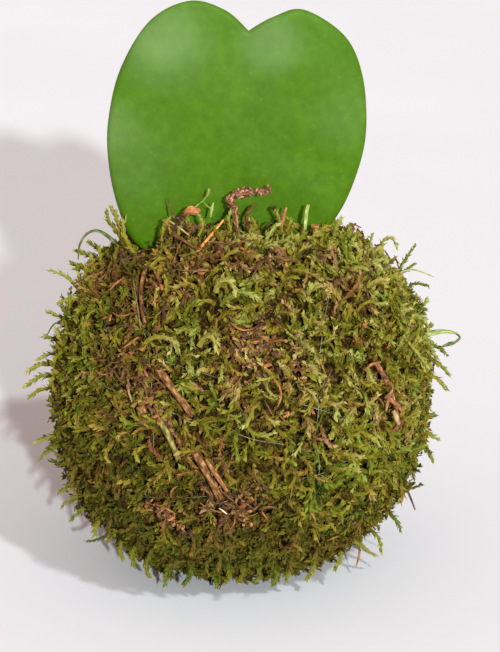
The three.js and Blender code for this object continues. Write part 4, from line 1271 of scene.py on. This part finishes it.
# Smooth strands: path in the view, radii, flatness, finish
strands = [
    ([(45, 14.6, 4), (48.8, 15.4, 4), (51.6, 15.6, 4), (54, 15.1, 4)], (0.45, 0.8, 0.85, 0.4), 0.6, "blade"),
    ([(53.9, 15, 4), (54.8, 14.1, 4), (53.6, 12.9, 4), (51.3, 12.2, 4), (49.6, 11.4, 4)],
     (0.35, 0.45, 0.5, 0.5, 0.25), 0.6, "darkBlade"),
    ([(39, 30, 2), (43, 31.2, 2), (48.4, 29.4, 2)], (0.3, 0.34, 0.2), 0.6, "blade"),
    ([(-31, 37.4, 8), (-35.4, 40.6, 7), (-38.6, 40.2, 6), (-40.6, 37.4, 6), (-41, 33.6, 6)],
     (0.5, 0.5, 0.5, 0.42, 0.24), 0.6, "darkBlade"),
    ([(-44, 18, 2), (-47.4, 17.4, 2), (-49.8, 13.4, 2)], (0.3, 0.3, 0.12), 0.6, "darkBlade"),
    ([(15.5, 40.5, 22), (15.7, 44, 22), (16.2, 46.4, 22)], (0.4, 0.55, 0.34), 0.45, "blade"),
    ([(-7.6, 43.4, 22.5), (-7.3, 45.2, 22.5), (-6.9, 46.9, 22.5)], (0.25, 0.4, 0.2), 0.5, "blade"),
    ([(-13.2, 43.6, 23), (-10.9, 46.2, 22.5), (-9.4, 47.4, 22), (-8.4, 48.9, 22)],
     (0.1, 0.1, 0.09, 0.08), 1, "blade"),
    ([(-9.4, 47.3, 22), (-8.2, 46, 22.5), (-6.8, 45.2, 23)], (0.09, 0.09, 0.08), 1, "blade"),
    ([(9.7, 40, 22.5), (10.2, 43.4, 22.5), (10.5, 44.6, 22.5), (10.9, 45.8, 22.5)],
     (0.18, 0.2, 0.42, 0.2), 0.8, "orange"),
    ([(7.6, 45.2, 22.3), (7.9, 45.7, 22.3), (8.5, 45.9, 22.3)], (0.3, 0.55, 0.3), 0.8, "darkBark"),
    ([(-13.9, 44.2, 23), (-12.3, 44.9, 23.2), (-10.4, 44.7, 23)], (0.35, 0.75, 0.6), 1.5, "orange"),
    ([(-20, 40.5, 22.5), (-17.5, 41.4, 23.2), (-14.6, 40, 24)], (0.12, 0.2, 0.15), 1, "bark"),
    ([(-18.6, 43, 22), (-16.2, 41.6, 23.4), (-12.6, 38.8, 25)], (0.14, 0.24, 0.16), 1, "tan"),
    ([(-18, 48, 20.5), (-17.2, 45.6, 22), (-16.3, 43, 23.5)], (0.12, 0.2, 0.24), 1, "bark"),
    ([(-17, 39, 27), (-15, 38.2, 29.5), (-11, 35.6, 31.5)], (0.3, 0.42, 0.3), 0.8, "bark"),
    ([(41, -23, 0), (42.6, -26.4, 0), (43.8, -29.6, 0)], (0.4, 0.36, 0.24), 0.7, "darkBark"),
    ([(29.6, -38, 1), (29.6, -41, 1), (28.8, -43.8, 1)], (0.35, 0.45, 0.25), 0.6, "orange"),
    ([(-5.2, -25.6, 43.4), (-4.4, -26.2, 43), (-3.4, -27, 42.5)], (0.12, 0.2, 0.12), 0.4, "pale"),
    ([(-8.2, -14, 48), (-5.8, -17.6, 47.6), (-3.3, -21.4, 46.4)], (0.3, 0.5, 0.35), 0.5, "rust"),
    ([(-26.6, 4.4, 41.4), (-26.4, 1.6, 41.6), (-25.6, -0.8, 41.8)], (0.2, 0.3, 0.2), 0.8, "tan"),
    ([(34, 0.2, 37.2), (36.6, -1.4, 35.2), (38.6, -3.8, 32.8)], (0.45, 0.5, 0.3), 0.8, "rust"),
    ([(34.8, 0, 37.2), (34.4, -1.8, 37.4), (34.2, -3.2, 37.4)], (0.4, 0.36, 0.2), 0.8, "rust"),
    ([(34.6, -0.2, 37), (35.8, 2, 36), (35.4, 3.6, 36.2)], (0.35, 0.3, 0.2), 0.8, "rust"),
    ([(29, 6.6, 41), (30.8, 8, 39.6), (32.8, 8.4, 38)], (0.2, 0.32, 0.2), 0.8, "rust"),
    ([(36, -3.2, 35.8), (36.8, -4.8, 35), (37.5, -6.3, 34)], (0.5, 0.7, 0.45), 0.6, "tan"),
]
# Crumbled bark: middle in the view, reach in mm, number of crumbs, their size, finish
crumbPiles = [
    ((-15, 42.4, 23.6), 1.5, 22, (0.3, 0.85), "darkBark"),
    ((-11, 41.6, 24.6), 2.0, 20, (0.3, 0.9), "bark"), ((18.1, 41.6, 22.6), 0.7, 6, (0.4, 0.8), "orange"),
    ((-3.4, 43.4, 23.6), 0.9, 8, (0.3, 0.7), "bark"), ((1.6, 42.6, 24), 1.0, 8, (0.3, 0.6), "darkBark"),
    ((27.2, 41.4, 6), 1.0, 9, (0.3, 0.8), "bark"), ((-30.5, 34.1, 17.6), 3.4, 40, (0.3, 0.85), "darkBark"),
    ((-20.6, -25.6, 36), 2.6, 8, (0.3, 0.85), "orange"), ((-17.6, -27.6, 36), 4.0, 24, (0.35, 0.9), "bark"),
    ((-16.4, -29, 36.4), 2.6, 8, (0.3, 0.85), "orange"),
    ((-17, -26.4, 34.6), 4.2, 34, (0.35, 0.85), "darkBark"),
    ((-16.6, 40.8, 23.4), 2.6, 26, (0.3, 0.8), "darkBark"),
    ((-13, -32, 34.6), 3.0, 16, (0.3, 0.9), "darkBark"), ((-1.9, -24.9, 42), 4.6, 26, (0.35, 0.85), "bark"),
    ((1.4, -26.5, 41.4), 4.0, 9, (0.4, 0.9), "orange"),
    ((-2.4, -23.5, 41.6), 4.4, 28, (0.3, 0.85), "darkBark"),
    ((2.4, -21, 43), 4.4, 20, (0.3, 0.9), "bark"),
    ((-19.6, -3.6, 44), 3.0, 10, (0.3, 0.9), "orange"), ((-20.5, -2, 43.4), 3.6, 24, (0.3, 0.85), "bark"),
    ((-24, 3.4, 42), 4.2, 26, (0.35, 0.85), "bark"), ((-20.5, 6, 43), 4.2, 26, (0.3, 0.85), "darkBark"),
    ((1.5, 15, 46.4), 3.4, 18, (0.35, 0.85), "rosy"), ((3, 10, 47.2), 5.4, 26, (0.35, 0.85), "rosy"),
    ((8, 8, 47.8), 5.4, 22, (0.35, 0.85), "bark"), ((1, 11, 47.4), 4.6, 8, (0.4, 0.9), "orange"),
    ((14, 6.5, 46.2), 3.4, 14, (0.3, 0.85), "rosy"), ((12, 14, 45.6), 5.0, 16, (0.4, 0.9), "bark"),
    ((28.4, 17.2, 35.8), 1.2, 7, (0.4, 0.9), "orange"), ((10.8, -3.6, 47.4), 1.2, 6, (0.4, 0.9), "orange"),
    ((-26.5, 22, 33), 3.6, 22, (0.3, 0.85), "bark"), ((33, 3, 34), 3.0, 14, (0.3, 0.85), "bark"),
]
# Finishes: the material's name, its dark, middle and pale colour, and its slot
finishes = dict(
    bark=("stemChips", "#26160b", "#60401f", "#977048", "bark"),
    darkBark=("rottenBark", "#1c110a", "#422917", "#7c5836", "bark"),
    orange=("orangeStraw", "#562c15", "#945b32", "#c49260", "straw"),
    rosy=("rosyCrumbs", "#4a2a18", "#8a5834", "#bf9066", "bark"),
    rust=("rustyStem", "#4c2c15", "#8a5834", "#c0925f", "bark"),
    tan=("tanStrip", "#6e4e2e", "#a08052", "#d0b488", "straw"),
    pale=("bleachedStraw", "#9c8b6c", "#cdbf9e", "#ebe3cf", "straw"),
    blade=("freshBlade", "#5c6826", "#8f994c", "#bec48a", "moss"),
    darkBlade=("darkBlade", "#2c3615", "#535f2d", "#868e54", "moss"),
)
# Litter: `gathered` draws it to its spots and `everywhere` is its share elsewhere; a pile whose
# middle is higher over the mat than `standing` hangs free, and lower ones lie below `pileTop`
litter = dict(
    seed=21, steps=8, sides=5, bow=0.8, slant=0.22, taper=0.45, strandSteps=22, strandSides=8,
    tried=9000, scatter=0.02, lowest=17, gathered=2.2, everywhere=0.008,
    offTwig=0.3, offLeaf=0.6, offGround=1.5, pileShape=(1, 1, 0.35), pileTop=3.2, standing=5,
    streaksPerMm=2.6, rough=("bark", "darkBark", "orange", "rosy", "rust"),
    stems=dict(count=150, length=(2.5, 7), radius=(0.12, 0.26), height=(1.2, 3.4), flatness=0.9, jag=0.5),
    chips=dict(count=260, length=(0.8, 2.2), radius=(0.25, 0.5), height=(0.8, 3.0), flatness=0.5, jag=1.1),
    kinds=dict(bark=0.58, darkBark=0.3, orange=0.12),
)


def litterPaths(spec, random):
    # short arcs over the moss, bowed to the side, one end a little higher than the other
    tried = evenDirections(litter["tried"], litter["scatter"], random)
    tried = tried[overMat(tried, np.zeros(len(tried)))[:, 2] > litter["lowest"]]
    share = nearSpots(tried, litterSpots) ** litter["gathered"] + litter["everywhere"]
    direction = tried[random.choice(len(tried), spec["count"], False, share / share.sum())]
    count = len(direction)
    down, beside = onFace(direction)
    heading = random.uniform(0, 2 * np.pi, (count, 1))
    way = np.cos(heading) * down + np.sin(heading) * beside
    across = np.sin(heading) * down - np.cos(heading) * beside
    t = np.linspace(-0.5, 0.5, litter["steps"])[None, :, None]
    length = random.uniform(*spec["length"], (count, 1, 1))
    bow = random.uniform(-1, 1, (count, 1, 1)) * litter["bow"]
    slide = way[:, None] * t * length + across[:, None] * bow * length * (t ** 2 - 0.25)
    high = random.uniform(*spec["height"], (count, 1)) * (1 - nearSpots(direction, lowTufts))[:, None]
    height = high + random.normal(0, litter["slant"], (count, 1)) * (t * length)[..., 0]
    path = overMat(unit(direction[:, None] + slide / ball["halfWidth"]), height)
    side = np.where(leafFrame(path[:, 0])[1] > 0, 1.0, -1.0)[:, None]
    path = offBlade(besideScraps(path, litter["offTwig"]), side, litter["offLeaf"])
    return squeezedOnGround(path, litter["offGround"]), random.uniform(*spec["radius"], count)


def litterShells():
    # every loose strand, chip and stem as a small tapering tube, gathered by its finish
    random = np.random.default_rng(litter["seed"])
    shells = {kind: [] for kind in finishes}

    def add(kind, path, radii, flatness, sides, seed, jag=0.5):
        shells[kind].append(stemShell(path, radii, path - centre, sides, seed, flatness, jag))

    for path, radii, flatness, kind in strands:
        fine = smoothCurve(inView(path), litter["strandSteps"])
        wide = np.interp(np.linspace(0, 1, len(fine)), np.linspace(0, 1, len(radii)), radii)
        add(kind, fine, wide, flatness, litter["strandSides"], len(path))
    for middle, reach, count, size, kind in crumbPiles:
        spots = inView(np.array(middle) + random.normal(0, reach / 2, (count, 3)) * litter["pileShape"])
        height, direction = heightOver(spots)
        if height.mean() < litter["standing"]:
            spots = overMat(direction, np.minimum(height, litter["pileTop"]))
        shells[kind].extend(crumbShell(spot, size, random) for spot in spots)
    names, shares = list(litter["kinds"]), list(litter["kinds"].values())
    for spec in (litter["stems"], litter["chips"]):
        paths, widths = litterPaths(spec, random)
        kinds = random.choice(names, len(paths), p=shares)
        taper = 1 - litter["taper"] * np.abs(np.linspace(-1, 1, litter["steps"])) ** 2
        for path, width, kind in zip(paths, widths, kinds):
            seed = int(width * 90) % 9
            add(kind, path, width * taper, spec["flatness"], litter["sides"], seed, spec["jag"])
    return shells


def makeLitter():
    # one piece for each finish
    for kind, shells in litterShells().items():
        name, dark, middle, pale, slot = finishes[kind]
        points, faces = joined([(points, faces) for points, faces, _ in shells])
        uv = np.concatenate([uv for *_, uv in shells])
        bark = drawnBark(name, dark, middle, pale, litter["streaksPerMm"])
        smooth = kind not in litter["rough"]
        addPiece(f"{kind}Litter", points, faces, bark, slot, (), uv, smooth=smooth)


sprigMoss = dict(moss, seed=31, leaflets=26, knots=9, offGround=1.5)


def makeSprigs():
    # the sprigs are shoots along smooth curves, with more leaflets than the others
    random = np.random.default_rng(sprigMoss["seed"])
    path = np.stack([smoothCurve(inView(path), sprigMoss["knots"]) for path, *_ in sprigs])
    kind, tone, plump = (np.array([sprig[i] for sprig in sprigs]) for i in (1, 2, 3))
    guide = unit(np.cross(path[:, -1] - path[:, 0], viewForward + 0.01))
    path = squeezedOnGround(path, sprigMoss["offGround"])
    points, faces, uv = shootShells(sprigMoss, path, guide, plump, kind, tone, random)
    leafy = bpy.data.materials["leafyMoss"]
    addPiece("mossSprigs", points, faces, leafy, "moss", ["moss_coat"], uv, "OFBake", False)


makeLitter()
makeSprigs()
print("litter and sprigs made")


soilGrain = dict(crumbs=2.63, relief=1.0)  # mm


def rootedSoil():
    # peat and clay: nearly black brown crumbs, dull and rough
    material, tree, shader = newFinish("rootedSoil")
    place = addNode(tree, "TexCoord").outputs["Object"]
    crumbs = addNode(tree, "TexNoise", {
        "Vector": place, "Scale": perMetre(soilGrain["crumbs"]), "Detail": 5.0, "Roughness": 0.7,
    })
    colour = addRamp(tree, crumbs.outputs["Fac"], [(0.35, "#1d130b"), (0.55, "#3b2818"), (0.7, "#6a4c31")])
    bump = addNode(tree, "Bump", {
        "Height": crumbs.outputs["Fac"], "Strength": 0.9, "Distance": soilGrain["relief"] * mm,
    })
    setInputs(tree, shader, {"Base Color": colour, "Roughness": 0.95, "Normal": bump.outputs["Normal"]})
    return material


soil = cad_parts["soil_ball"]
soil.data.materials.clear()
soil.data.materials.append(rootedSoil())
